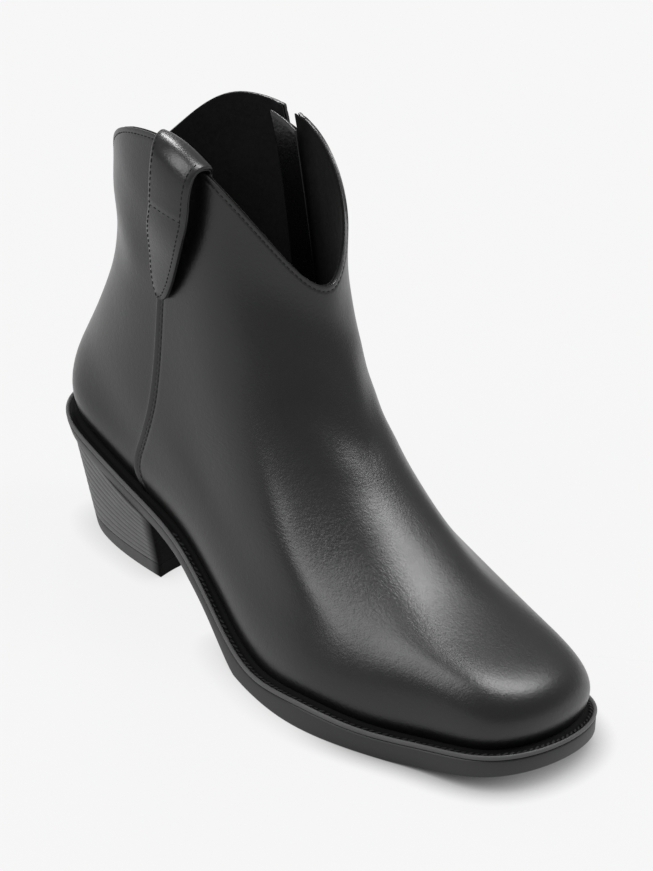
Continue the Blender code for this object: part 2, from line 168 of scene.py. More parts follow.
# Side seam (outer) and zip (inner): height share, x of each in percent of the length
SIDE_LINES = table(
    "share seam_x zip_x",
    (0.00, 24.0, 40.0),
    (0.045, 23.05, 39.9),
    (0.14, 23.7, 39.6),
    (0.31, 25.4, 38.0),
    (0.64, 25.4, 33.4),
    (0.82, 25.4, 29.0),
    (1.00, 25.4, 23.5),
)

# Pull loop from between the collar's layers to its tip: share, then lift off the wall and edges in mm
PULL_LOOP = table(
    "share lift rear front",
    (0.985, -1.9, -7.2, 18.5),
    (1.000, -1.5, -7.1, 18.5),
    (1.007, -0.6, -6.9, 18.5),
    (1.010, 0.4, -6.6, 18.4),
    (1.011, 1.8, -5.8, 18.2),
    (1.010, 3.8, -4.4, 17.8),
    (1.002, 6.0, -2.6, 17.4),
    (0.985, 7.4, -1.2, 17.4),
    (0.950, 8.2, -0.4, 17.6),
    (0.900, 8.0, -0.2, 18.0),
    (0.850, 7.6, -0.8, 17.6),
    (0.800, 6.2, -2.6, 16.0),
    (0.750, 4.2, -3.2, 13.2),
    (0.700, 2.6, -3.6, 9.8),
    (0.665, 1.6, -3.2, 6.8),
    (0.645, 1.0, -2.2, 4.6),
    (0.634, 1.0, -1.0, 3.0),
)

# Heel in plan: share of the way down, then in mm, how square its outline is, and the points along one side
HEEL = table(
    "down back_x front_x half_width square",
    (0.0, -2.4, 68.5, 30.0, 2.7),
    (0.5, 5.8, 68.5, 26.0, 2.55),
    (1.0, 14.0, 69.0, 22.4, 2.45),
)
HEEL_SIDE_COUNT = 34

# Edge of the heel's top piece: share of the heel's way down, then inwards and up from the floor in mm
TOP_PIECE_PROFILE = (
    (TOP_PIECE_FROM, 0.4, TOP_PIECE_THICK), (0.86, 0.05, TOP_PIECE_THICK - 0.3), (0.9, -0.1, 4.4),
    (0.97, 0.0, 1.4), (1.0, 0.05, 0.6), (1.0, 0.6, 0.0),
)

# How dark the heel's lines, its top piece and the welt's row are: shade is painted into the lines and onto
# the row
HEEL_LINE_PAINTED_SHADE = 0.4
TOP_PIECE_SHADE = 0.3
WELT_ROW_PAINTED_SHADE = 0.8

# Leather across the side seam, in mm: the lapped edge, a plain band, then two sewn rows with a bead between
SEAM_PROFILE = table(
    "from_seam lift",
    (-10, 0.0), (-4.6, 0.0), (-3.6, 0.05), (-3.25, 0.12), (-3.05, 0.38), (-2.85, 0.75), (-2.65, 0.93),
    (-2.4, 0.97), (-1.9, 0.88), (-1.2, 0.62), (-0.8, 0.36), (-0.62, 0.28), (-0.45, 0.36), (-0.2, 0.66),
    (0.0, 0.74), (0.2, 0.66), (0.45, 0.36), (0.62, 0.28), (0.85, 0.36), (1.4, 0.52), (2.4, 0.6), (7.0, 0.6),
)
SEAM_ROWS = (-0.62, 0.62)
SEAM_ROW_SPAN = (0.012, 0.637)

# Soft troughs (and ridges, with a negative depth) of the upper: half width and depth in mm, then their line
# as angles in degrees and height shares
CREASES = (
    (9.0, 0.2, (118, 0.60), (126, 0.48), (134, 0.38)),
    (10.0, 0.15, (112, 0.36), (122, 0.30), (134, 0.24)),
    (8.0, -0.6, (20, 0.92), (40, 0.80), (58, 0.68)),
    (7.0, 0.5, (150, 0.66), (165, 0.62), (180, 0.60), (200, 0.62), (215, 0.66)),
    (6.0, 0.4, (232, 0.52), (245, 0.46), (258, 0.43)),
    (9.0, 0.6, (300, 0.52), (320, 0.46), (340, 0.44)),
)

# Patches of fine wrinkles: angle in degrees, height share, radius in mm
WRINKLES = ((100, 0.44, 14.0), (113, 0.32, 12.0), (134, 0.40, 14.0), (142, 0.33, 14.0), (150, 0.27, 10.0))

# Top and edge of the welt: outwards from its edge and down, in mm, then its row's place and size
WELT_PROFILE = table(
    "out down",
    (-9.5, 0.0), (-5.4, 0.0), (-4.6, 0.7), (-3.6, 0.9), (-2.9, 0.75), (-2.4, 0.6), (-1.9, 0.75), (-1.55, 0.7),
    (-1.2, 0.4), (-0.85, 0.08), (-0.5, 0.06), (-0.22, 0.26), (-0.06, 0.6), (0.0, 1.05), (-0.06, 1.5),
    (-0.25, 1.9), (-0.6, 2.1), (-1.3, 2.15),
)
# The welt's channel ends this far out from its edge, in mm; shade is painted onto the welt inside it
WELT_CHANNEL = -1.3
WELT_RIDGE = -2.4
WELT_RIDGE_DOWN = 0.5
WELT_MARK = (2.6, 0.95, 0.5)
LIP_DOWN = 2.1

# Edge of the outsole: inwards from its outline in mm, then the share of the way down its side
OUTSOLE_PROFILE = table(
    "inset down",
    (1.2, 0.0), (0.5, 0.01), (0.15, 0.05), (0.0, 0.12), (0.0, 0.5), (0.0, 0.9), (0.08, 0.95), (0.3, 0.985),
    (0.7, 1.0),
)

# Edge of the insole: inwards from its outline in mm, then the share of its thickness
INSOLE_PROFILE = ((9.0, 0.55), (3.0, 0.75), (0.9, 0.95), (0.2, 0.8), (0.0, 0.5), (0.2, 0.1), (0.8, 0.0))

# Strips of the zip inside the wall: ends as height shares, then in mm the rear and front edge from the zip's
# line, their depths under the skin, and the thickness; then their finish and its slot
ZIP_STRIPS = {
    "zip_tape": dict(foot=0.135, head=0.965, edges=(-5.4, 5.4), depths=(1.36, 1.36), thick=0.4,
                     finish="zip weave", slot="zip_fabric"),
    "zip_guard": dict(foot=0.13, head=0.98, edges=(-9.4, 8.5), depths=(4.2, 5.4), thick=1.0,
                      finish="guard leather", slot="black_leather"),
}
TEETH_FOOT, TEETH_HEAD = 0.168, 0.955
TOOTH_SIZE = (0.95, 2.3, 1.15)

# Bridge on the slider, seen from the side: down along the zip and out of it, in mm
BRIDGE = table(
    "down out",
    (-3.6, 0.9), (-3.6, 2.4), (-3.1, 3.5), (-2.0, 4.05), (0.0, 4.15), (2.0, 4.05), (3.1, 3.5), (3.6, 2.4),
    (3.6, 0.9),
)
BRIDGE_SIZE = (1.8, 0.9)
SLIDER_OUTLINE = (
    (-2.9, -5.4), (2.9, -5.4), (3.0, -2.5), (2.5, 1.5), (2.4, 5.4), (-2.4, 5.4), (-2.5, 1.5), (-3.0, -2.5),
)
SLIDER_PLATES = ((-0.55, 0.1), (0.55, 1.25))
PULL_SIZE = (5.4, 21.8, 0.95)
PULL_BAR = 1.0
EYE_SIZE = (3.2, 6.6)

# Camera: its angles in degrees, distance and aim in mm, and its picture
CAMERA_TURN, CAMERA_RISE, CAMERA_ROLL = 41.59, 26.49, 7.0
CAMERA_DISTANCE = 1178.62
CAMERA_AIM = (117.63, 13.33, 75.99)
PICTURE_LONG_SIDE = 871
FOCAL_PIXELS = 3000
SENSOR = 36.0

# Soft boxes: place and aim in metres, sides in metres, power in watts
SOFT_BOXES = {
    "overhead": dict(place=(0.32, 0.52, 1.385), aim=(0.0, 0.0, 0.07), sides=(0.5, 0.84), power=15.5),
    "outer_side": dict(place=(-0.23, -0.92, 1.17), aim=(0.0, 0.0, 0.07), sides=(0.57, 1.52), power=15.0),
    "rim": dict(place=(-0.75, 0.52, 1.2), aim=(0.0, 0.0, 0.07), sides=(0.23, 0.78), power=9.7),
}

# The floor: half its side in mm, its own light share, how far in metres and how deep the shadow painted into
# its glow reaches from the boot, what is left of that painted shadow behind the ball, and between which x in
# metres it grows to the full
FLOOR_HALF = 3e4
FLOOR_DIFFUSE = 0.03
CONTACT_REACH = 0.012
CONTACT_DEPTH = 1.3
CONTACT_BEHIND = 0.25
CONTACT_FROM = (0.045, 0.085)

SOLE_COUNT = 240
REACH_COUNT = 72


def mix(first, second, share):
    return first + (second - first) * share


def ease(value):
    value = np.clip(value, 0, 1)
    return value * value * (3 - 2 * value)


def curve(knots, values, at):
    """The natural cubic curve through a value at each knot, read at any places."""
    at = np.asarray(at, float)
    count = len(knots)
    step = np.diff(knots)
    slope = np.diff(values) / step
    left = np.eye(count)
    right = np.zeros(count)
    for i in range(1, count - 1):
        left[i, i - 1:i + 2] = step[i - 1], 2 * (step[i - 1] + step[i]), step[i]
        right[i] = 6 * (slope[i] - slope[i - 1])
    second = np.linalg.solve(left, right)
    i = np.clip(np.searchsorted(knots, at, side="right") - 1, 0, count - 2)
    b = (at - knots[i]) / step[i]
    a = 1 - b
    bow = (a**3 - a) * second[i] + (b**3 - b) * second[i + 1]
    return a * values[i] + b * values[i + 1] + bow * step[i]**2 / 6


def closed_curve(knots, values, at):
    """The same round a full turn: the loop is repeated before and after, so that its ends join smoothly."""
    return curve(np.concatenate((knots - TURN, knots, knots + TURN)), np.tile(values, 3), np.mod(at, TURN))


def underside(x):
    """Height of the outsole's lower face, never below the floor."""
    return np.maximum(curve(SOLE["x"], SOLE["underside"], x / LENGTH * 100) * HEEL_HEIGHT / 100, 0)


def welt_top(x):
    at = x / LENGTH * 100
    return curve(SOLE["x"], SOLE["underside"], at) * HEEL_HEIGHT / 100 + curve(SOLE["x"], SOLE["thick"], at)


def edge_line(line, height):
    """A line in the boot's side view as its height shares, x and z, with its foot on the welt."""
    x = line["x"] * LENGTH / 100
    z = line["z"] * height / 100
    z[0] = welt_top(x[0])
    return {"share": line["share"], "x": x, "z": z}


def side_view(angle, share):
    """x and z of the upper, filled in between the welt, the collar, the back line and the front ridge."""
    back_line = edge_line(BACK_LINE, COLLAR_HEIGHT)
    front_ridge = edge_line(FRONT_RIDGE, INSTEP_HEIGHT)
    along = (1 - np.cos(angle)) / 2
    outer, inner = (curve(COLLAR["along"], COLLAR[side], along) for side in ("outer_z", "inner_z"))
    rim = np.where(np.sin(angle) < 0, inner, outer) * COLLAR_HEIGHT / 100
    low_x = mix(back_line["x"][0], front_ridge["x"][0], along)
    high_x = mix(back_line["x"][-1], front_ridge["x"][-1], along)
    found = []
    for axis, low, high in (("x", low_x, high_x), ("z", welt_top(low_x), rim)):
        back, front = (curve(line["share"], line[axis], share) for line in (back_line, front_ridge))
        low_corners = mix(back_line[axis][0], front_ridge[axis][0], along)
        high_corners = mix(back_line[axis][-1], front_ridge[axis][-1], along)
        found.append(mix(low, high, share) + mix(back, front, along) - mix(low_corners, high_corners, share))
    return found


def breadth(angle, share):
    """y of the upper: each ring's closed curve, weighted by one that is 1 at that ring and 0 at the rest."""
    stations = np.radians(list(STATIONS.values()))
    shares = np.array(list(RINGS.values()))
    total = 0
    for ring, weights in zip(RINGS, np.eye(len(RINGS))):
        row = np.array(BREADTH[ring]) * BALL_WIDTH / 100
        total = total + curve(shares, weights, share) * closed_curve(stations, row, angle)
    return total


def skin(angle, share):
    """Outer face of the upper before its seams and creases."""
    angle, share = np.broadcast_arrays(np.asarray(angle, float), np.asarray(share, float))
    x, z = side_view(angle, share)
    return np.stack((x, breadth(angle, share), z), axis=-1)


def outward(angle, share, small=1e-3):
    """Unit normal of the upper, pointing out of it."""
    round_it = skin(angle + small, share) - skin(angle - small, share)
    up_it = skin(angle, share + small) - skin(angle, share - small)
    normal = np.cross(round_it, up_it)
    return normal / np.linalg.norm(normal, axis=-1, keepdims=True)


def wall(angle, share, lift):
    """A place on the upper, lifted off its outer face (negative goes into the wall)."""
    return skin(angle, share) + outward(angle, share) * np.asarray(lift)[..., None]


def angle_at(x, share, inner=False):
    """The angle at which the upper's outer or inner side passes this x, at each height share."""
    x, share = np.broadcast_arrays(np.asarray(x, float), np.asarray(share, float))
    low, high = np.zeros(x.shape), np.full(x.shape, np.pi)
    for _ in range(40):
        middle = (low + high) / 2
        behind = side_view(middle, share)[0] < x
        low, high = np.where(behind, middle, low), np.where(behind, high, middle)
    return TURN - low if inner else low


def side_line(column, share):
    """x of the seam or the zip at each height share."""
    return curve(SIDE_LINES["share"], SIDE_LINES[column], np.clip(share, 0, 1)) * LENGTH / 100


def plan_outline(out, count=SOLE_COUNT):
    """The line where the upper meets the welt, moved outwards in plan."""
    angle = np.linspace(0, TURN, count, endpoint=False)
    small = 1e-3
    run = (skin(angle + small, 0) - skin(angle - small, 0))[:, :2]
    normal = np.stack((run[:, 1], -run[:, 0]), axis=1) / np.linalg.norm(run, axis=1)[:, None]
    return skin(angle, 0)[:, :2] + normal * np.asarray(out)


def sole_edge(inset=0.0, count=SOLE_COUNT):
    """The outsole's lower outline: drawn in over the heel, flared a little under the forefoot."""
    x = plan_outline(OUTSOLE_OUT, count)[:, :1]
    flare = OUTSOLE_FLARE * np.clip((x - FLARE_FROM) / FLARE_RUN, 0, 1)
    taper = HEEL_TAPER * np.clip((TAPER_END - x) / TAPER_RUN, 0, 1)
    return plan_outline(OUTSOLE_OUT + flare - taper - inset, count)


def frame_shift():
    """What brings the boot's own places to the frame's: the middle of the sole goes over the origin."""
    reach = np.concatenate((plan_outline(WELT_OUT, REACH_COUNT), sole_edge(0.0, REACH_COUNT)))
    middle = (reach.min(axis=0) + reach.max(axis=0)) / 2
    return np.array((-middle[0], -middle[1], 0))


SHIFT = frame_shift()


def in_frame(points):
    """The boot's millimetres as the frame's metres."""
    return (np.asarray(points, float).reshape(-1, 3) + SHIFT) * MM


def line_distance(points, line):
    """How far each point is from a line through a few places."""
    dense = np.concatenate([mix(a, b, np.linspace(0, 1, 12)[:, None]) for a, b in zip(line, line[1:])])
    return np.min(np.linalg.norm(points[..., None, :] - dense, axis=-1), axis=-1)


def creases(angle, share):
    """Lift of the soft troughs and ridges."""
    places = skin(angle, share)
    lift = np.zeros(places.shape[:-1])
    for half_width, depth, *line in CREASES:
        angles, shares = np.array(line).T
        away = line_distance(places, skin(np.radians(angles), shares)) / half_width
        lift -= depth * (np.exp(-away**2) - 0.3 * np.exp(-((away - 1.9) / 0.8)**2))
    return lift


def unevenness(places, size, height):
    """A soft random lift, the same at each run."""
    flat = places.reshape(-1, 3) / size
    return height * np.array([noise.noise(place) for place in flat.tolist()]).reshape(places.shape[:-1])


def collar_climb(angle):
    """Millimetres of wall in a full height share, as measured just under the collar."""
    return np.linalg.norm(skin(angle, 0.985) - skin(angle, 0.965), axis=-1) / 0.02


def leather_lift(angle, share):
    """How far the leather's face stands off the plain skin: seam, zip edges, collar row and creases."""
    angle, share = np.broadcast_arrays(np.mod(angle, TURN), np.asarray(share, float))
    x = side_view(angle, share)[0]
    from_seam = x - side_line("seam_x", share)
    from_zip = x - side_line("zip_x", share)
    seam = np.interp(from_seam, SEAM_PROFILE["from_seam"], SEAM_PROFILE["lift"])
    panel = np.interp(from_zip, (-SLOT_HALF, SLOT_HALF), (0, PANEL_STEP))
    edge = np.abs(from_zip) - SLOT_HALF
    sewn = np.where(share > ZIP_FOOT, 0.3 * np.exp(-((edge - ZIP_ROW_GAP) / 0.7)**2), 0)
    lift = np.where(angle < np.pi, seam, panel - sewn)
    drop = (1 - share) * collar_climb(angle)
    lift = lift - 0.22 * np.exp(-((drop - 2.1) / 0.6)**2) - 0.12 * np.exp(-(drop / 0.6)**2)
    return lift + creases(angle, share) + unevenness(skin(angle, share), 22.0, 0.16)


def grid_faces(rows, columns, closed=False, skip=()):
    """Quads of a grid whose points run row by row."""
    faces = []
    for r in range(rows - 1):
        for c in range(columns if closed else columns - 1):
            d = (c + 1) % columns
            if (r, c) not in skip:
                faces.append((r * columns + c, r * columns + d, (r + 1) * columns + d, (r + 1) * columns + c))
    return faces


def turned(faces):
    return [face[::-1] for face in faces]


def lid(count, first):
    """Closes a loop whose points mirror about its first and middle ones, by strips from side to side."""
    half = count // 2
    faces = [(0, 1, count - 1)]
    faces += [(j, j + 1, count - j - 1, count - j) for j in range(1, half - 1)]
    faces.append((half - 1, half, half + 1))
    return [tuple(first + i for i in face) for face in faces]


def new_piece(name, points, faces, material, smooth=True):
    """A mesh object at the origin, from points in the boot's millimetres."""
    mesh = bpy.data.meshes.new(name)
    mesh.from_pydata(in_frame(points).tolist(), [], faces)
    mesh.polygons.foreach_set("use_smooth", np.full(len(mesh.polygons), smooth))
    mesh.materials.append(material)
    piece = bpy.data.objects.new(name, mesh)
    bpy.context.scene.collection.objects.link(piece)
    return piece


def stack_piece(name, loops, material):
    """A closed piece through loops of points, from the top one down."""
    count = len(loops[0])
    faces = turned(grid_faces(len(loops), count, closed=True))
    faces += lid(count, 0) + turned(lid(count, (len(loops) - 1) * count))
    return new_piece(name, np.concatenate(loops), faces, material)


def add_attribute(piece, name, values):
    attribute = piece.data.attributes.new(name, "FLOAT", "POINT")
    attribute.data.foreach_set("value", np.asarray(values, np.float32).ravel())


def add_uv(piece, name, places):
    """A UV map with a place in metres for each point of the mesh."""
    corners = np.empty(len(piece.data.loops), np.int32)
    piece.data.loops.foreach_get("vertex_index", corners)
    layer = piece.data.uv_layers.new(name=name)
    layer.data.foreach_set("uv", (np.asarray(places, float).reshape(-1, 2) * MM)[corners].ravel())


def thicken(piece, thick, offset=-1):
    modifier = piece.modifiers.new("thickness", "SOLIDIFY")
    modifier.thickness = thick * MM
    modifier.offset = offset
    modifier.use_rim = True


def round_edges(piece, width, segments=2, angle=50):
    modifier = piece.modifiers.new("rounded edges", "BEVEL")
    modifier.width = width * MM
    modifier.segments = segments
    modifier.limit_method = "ANGLE"
    modifier.angle_limit = np.radians(angle)


def dress(piece, slot, *nodes, body="boot"):
    """Hands a finished piece to the frame: its body, its slot (not used), and the solids it stands for, which
    it hides.
    """
    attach(piece, body)
    if nodes:
        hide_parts(*nodes)


def shown_socket(sockets, key):
    """A node's socket by its number, or the one in use of that name."""
    if isinstance(key, int):
        return sockets[key]
    return next(socket for socket in sockets if socket.name == key and socket.enabled)


def add_node(tree, kind, settings=None, inputs=None):
    """A node with its settings made first, then the values or links of its sockets."""
    node = tree.nodes.new(kind)
    for name, value in (settings or {}).items():
        setattr(node, name, value)
    for key, value in (inputs or {}).items():
        target = shown_socket(node.inputs, key)
        if isinstance(value, bpy.types.NodeSocket):
            tree.links.new(value, target)
        else:
            target.default_value = value
    return node


class Field:
    """A socket in a material, so that masks and heights read as sums and products."""

    def __init__(self, finish, socket):
        self.finish = finish
        self.socket = socket

    def math(self, operation, *values):
        return self.finish.node("ShaderNodeMath", {"operation": operation}, dict(enumerate(values)))

    def __add__(self, other):
        return self.math("ADD", self, other)

    __radd__ = __add__

    def __sub__(self, other):
        return self.math("SUBTRACT", self, other)

    def __rsub__(self, other):
        return self.math("SUBTRACT", other, self)

    def __mul__(self, other):
        return self.math("MULTIPLY", self, other)

    __rmul__ = __mul__

    def __pow__(self, other):
        return self.math("POWER", self, other)

    def between(self, low, high):
        """0 at low and 1 at high, eased."""
        values = {"Value": self, "From Min": low, "From Max": high}
        return self.finish.node("ShaderNodeMapRange", {"interpolation_type": "SMOOTHSTEP"}, values)


class Finish:
    """A material whose nodes are added one by one."""

    def __init__(self, name):
        self.material = bpy.data.materials.new(name)
        self.material.use_nodes = True
        self.tree = self.material.node_tree
        self.shader = self.tree.nodes["Principled BSDF"]
        self.place = self.node("ShaderNodeTexCoord", output="Object")

    def node(self, kind, settings=None, inputs=None, output=None):
        plain = {key: getattr(value, "socket", value) for key, value in (inputs or {}).items()}
        node = add_node(self.tree, kind, settings, plain)
        if output is None:
            return Field(self, next(socket for socket in node.outputs if socket.enabled))
        return Field(self, shown_socket(node.outputs, output))

    def noise(self, size, detail=2.0, roughness=0.5, place=None):
        """Soft noise whose grains are about this many millimetres."""
        return self.node("ShaderNodeTexNoise", None, {
            "Vector": place or self.place, "Scale": 1 / (size * MM), "Detail": detail, "Roughness": roughness,
        }, "Fac")

    def cells(self, size, feature="F1"):
        inputs = {"Vector": self.place, "Scale": 1 / (size * MM)}
        return self.node("ShaderNodeTexVoronoi", {"feature": feature}, inputs, "Distance")

    def attribute(self, name):
        return self.node("ShaderNodeAttribute", {"attribute_name": name}, None, "Fac")

    def blend(self, mask, low, high):
        """From one colour to the other by a mask."""
        inputs = {"Factor": mask, "A": (*low, 1), "B": (*high, 1)}
        return self.node("ShaderNodeMix", {"data_type": "RGBA"}, inputs, "Result")

    def bump(self, height, depth):
        """Normal of a relief this many millimetres deep."""
        inputs = {"Strength": 1.0, "Distance": depth * MM, "Height": height}
        return self.node("ShaderNodeBump", None, inputs, "Normal")

    def surface(self, **values):
        for name, value in values.items():
            target = self.shader.inputs[name.replace("_", " ").title().replace("Ior", "IOR")]
            if isinstance(value, Field):
                self.tree.links.new(value.socket, target)
            else:
                target.default_value = value
        return self.material


def shade(colour, factor):
    return tuple(min(1.0, channel * factor) for channel in colour)


def leather_finish(name, colour, roughness, grain=0.75, wrinkled=False):
    """Smooth dyed leather: pores, a hair of cloudiness in tone and gloss, and fine wrinkles where bent."""
    finish = Finish(name)
    pores = finish.cells(grain, "SMOOTH_F1")
    fine = finish.noise(grain * 0.4, 3.0, 0.6)
    cloud = finish.noise(26.0, 3.0, 0.55)
    mottle = finish.noise(2.4, 3.0, 0.6)
    height = pores * 0.75 + fine * 0.5 + mottle * 1.6
    if wrinkled:
        bend = finish.attribute("wrinkle")
        streaks = finish.node("ShaderNodeMapping", None, {
            "Vector": finish.place, "Rotation": (0.0, 0.62, 0.5), "Scale": (0.22, 1.0, 1.0),
        })
        lines = finish.noise(0.8, 2.0, 0.5, streaks)
        height = height + bend * (lines * 3.0)
    return finish.surface(
        base_color=finish.blend(cloud, shade(colour, 0.8), shade(colour, 1.3)),
        roughness=roughness - 0.08 + 0.1 * cloud + 0.08 * mottle,
        normal=finish.bump(height, 0.05),
        coat_weight=0.12,
        coat_roughness=0.28,
        specular_ior_level=0.5,
    )


def suede_finish(name, colour):
    """Napped split leather: a matt felt of fine fibres, brushed lighter in patches."""
    finish = Finish(name)
    fibres = finish.noise(0.45, 4.0, 0.7)
    tufts = finish.noise(2.2, 3.0, 0.6)
    brushed = finish.noise(14.0, 2.0)
    return finish.surface(
        base_color=finish.blend((fibres * 0.6 + tufts * 0.5 + brushed * 0.3).between(0.45, 0.95),
                                shade(colour, 0.55), shade(colour, 2.4)),
        roughness=0.95,
        normal=finish.bump(fibres * 0.6 + tufts * 0.8, 0.22),
        sheen_weight=0.05,
        sheen_roughness=0.5,
        specular_ior_level=0.1,
    )


def rubber_finish(name, colour, roughness, relief=0.02, with_painted_shade=False, gloss=0.5):
    """Moulded rubber: a fine even skin, a little rubbed in places, with shade painted darker into its grooves
    and other shaded places.
    """
    finish = Finish(name)
    skin_grain = finish.noise(0.35, 3.0, 0.6)
    rubbed = finish.noise(9.0, 4.0, 0.6)
    painted_shade = finish.attribute("painted_shade") if with_painted_shade else 0.0
    # Rubbed wear lightens the colour at random; painted shade darkens it where a piece marks its shaded
    # places.
    wear_and_painted_shade = (0.6 + 0.4 * rubbed) * (1 - painted_shade)
    return finish.surface(
        base_color=finish.blend(wear_and_painted_shade, shade(colour, 0.04), shade(colour, 1.35)),
        roughness=roughness - 0.08 + 0.16 * rubbed + 0.4 * painted_shade,
        normal=finish.bump(skin_grain + rubbed * 0.5, relief),
        specular_ior_level=gloss,
    )


def thread_finish(name, colour):
    """Twisted sewing thread, matt."""
    finish = Finish(name)
    strands = finish.noise(0.22, 2.0)
    return finish.surface(
        base_color=finish.blend(strands, shade(colour, 0.6), shade(colour, 1.6)),
        roughness=0.85,
        normal=finish.bump(strands, 0.05),
        specular_ior_level=0.3,
    )


def tape_finish(name, colour):
    """Woven zip tape: fine herringbone ribs along it, on the strip's own UV map."""
    finish = Finish(name)
    cloth = finish.node("ShaderNodeUVMap", {"uv_map": "strip"}, None, "UV")
    across = finish.node("ShaderNodeTexWave", {"bands_direction": "X"}, {
        "Vector": cloth, "Scale": 105.0, "Distortion": 0.6, "Detail Scale": 2.0,
    }, "Fac")
    along = finish.node("ShaderNodeTexWave", {"bands_direction": "DIAGONAL"}, {
        "Vector": cloth, "Scale": 160.0, "Distortion": 0.4,
    }, "Fac")
    weave = across * 0.6 + along * 0.4
    return finish.surface(
        base_color=finish.blend(weave, shade(colour, 0.5), shade(colour, 1.9)),
        roughness=0.85,
        normal=finish.bump(weave, 0.12),
        sheen_weight=0.1,
        specular_ior_level=0.25,
    )


def metal_finish(name, colour):
    """Dark plated zinc, faintly brushed and rubbed brighter in places."""
    finish = Finish(name)
    rubbed = finish.noise(3.0, 4.0, 0.6)
    fine = finish.noise(0.25, 2.0)
    return finish.surface(
        base_color=finish.blend(rubbed, shade(colour, 0.8), shade(colour, 1.5)),
        metallic=1.0,
        roughness=0.26 + 0.16 * rubbed,
        normal=finish.bump(fine, 0.006),
    )


def sock_finish(name, colour):
    """The insole's covering: thin matt lining leather with faint pores."""
    finish = Finish(name)
    pores = finish.cells(1.1)
    cloud = finish.noise(18.0, 3.0)
    return finish.surface(
        base_color=finish.blend(cloud, shade(colour, 0.75), shade(colour, 1.35)),
        roughness=0.62 + 0.14 * cloud,
        normal=finish.bump(pores, 0.05),
        specular_ior_level=0.4,
    )


def finish_of(name):
    """A finish by its name, made the first time it is asked for."""
    made = bpy.data.materials.get(name)
    if made:
        return made
    colours = bpy.context.scene.boot_colours
    makers = {
        "upper leather": lambda: leather_finish(name, colours.leather, 0.33, wrinkled=True),
        "strap leather": lambda: leather_finish(name, colours.leather, 0.30),
        "guard leather": lambda: leather_finish(name, colours.leather, 0.26, 1.1),
        "suede lining": lambda: suede_finish(name, colours.suede),
        "welt rubber": lambda: rubber_finish(name, shade(colours.rubber, 5.0), 0.42, 0.03, True, 0.15),
        "sole rubber": lambda: rubber_finish(name, colours.rubber, 0.50),
        "heel rubber": lambda: rubber_finish(name, shade(colours.rubber, 7.0), 0.46, 0.02, True, 0.12),
        "sewing thread": lambda: thread_finish(name, colours.thread),
        "zip weave": lambda: tape_finish(name, colours.thread),
        "zip plating": lambda: metal_finish(name, colours.metal),
        "insole cover": lambda: sock_finish(name, colours.suede),
    }
    return makers[name]()


def row_tree():
    """Geometry Nodes that set one rounded bead after another along a line, each lying along it."""
    found = bpy.data.node_groups.get("row of beads")
    if found:
        return found
    tree = bpy.data.node_groups.new("row of beads", "GeometryNodeTree")
    tree.interface.new_socket("Geometry", in_out="INPUT", socket_type="NodeSocketGeometry")
    for name, kind in (("Pitch", "Float"), ("Size", "Vector"), ("Slant", "Float"), ("Unevenness", "Float"),
                       ("Seed", "Int"), ("Finish", "Material")):
        tree.interface.new_socket(name, in_out="INPUT", socket_type="NodeSocket" + kind)
    tree.interface.new_socket("Geometry", in_out="OUTPUT", socket_type="NodeSocketGeometry")

    def node(kind, settings=None, inputs=None):
        made = add_node(tree, kind, settings, inputs)
        return next(socket for socket in made.outputs if socket.enabled)

    given = tree.nodes.new("NodeGroupInput").outputs
    line = node("GeometryNodeMeshToCurve", None, {"Mesh": given["Geometry"]})
    places = node("GeometryNodeResampleCurve", {"mode": "LENGTH"}, {"Curve": line, "Length": given["Pitch"]})
    bead = node("GeometryNodeMeshUVSphere", None, {"Segments": 8, "Rings": 6, "Radius": 0.5})
    out = node("GeometryNodeInputNamedAttribute", {"data_type": "FLOAT_VECTOR"}, {"Name": "out"})
    tangent = node("GeometryNodeInputTangent")
    lying = node("FunctionNodeAxesToRotation", {"primary_axis": "X", "secondary_axis": "Z"},
                 {"Primary Axis": tangent, "Secondary Axis": out})
    least = node("ShaderNodeMath", {"operation": "SUBTRACT"}, {0: 1.0, 1: given["Unevenness"]})
    most = node("ShaderNodeMath", {"operation": "ADD"}, {0: 1.0, 1: given["Unevenness"]})
    chance = node("FunctionNodeRandomValue", {"data_type": "FLOAT"},
                  {"Min": least, "Max": most, "Seed": given["Seed"]})
    angle = node("ShaderNodeMath", {"operation": "MULTIPLY"}, {0: given["Slant"], 1: chance})
    slant = node("FunctionNodeAxisAngleToRotation", None, {"Axis": (0, 0, 1), "Angle": angle})
    rotation = node("FunctionNodeRotateRotation", {"rotation_space": "LOCAL"},
                    {"Rotation": lying, "Rotate By": slant})
    scale = node("ShaderNodeVectorMath", {"operation": "SCALE"}, {0: given["Size"], "Scale": chance})
    beads = node("GeometryNodeInstanceOnPoints", None,
                 {"Points": places, "Instance": bead, "Rotation": rotation, "Scale": scale})
    solid = node("GeometryNodeRealizeInstances", None, {"Geometry": beads})
    smooth = node("GeometryNodeSetShadeSmooth", None, {"Geometry": solid})
    finished = node("GeometryNodeSetMaterial", None, {"Geometry": smooth, "Material": given["Finish"]})
    add_node(tree, "NodeGroupOutput", None, {"Geometry": finished})
    return tree


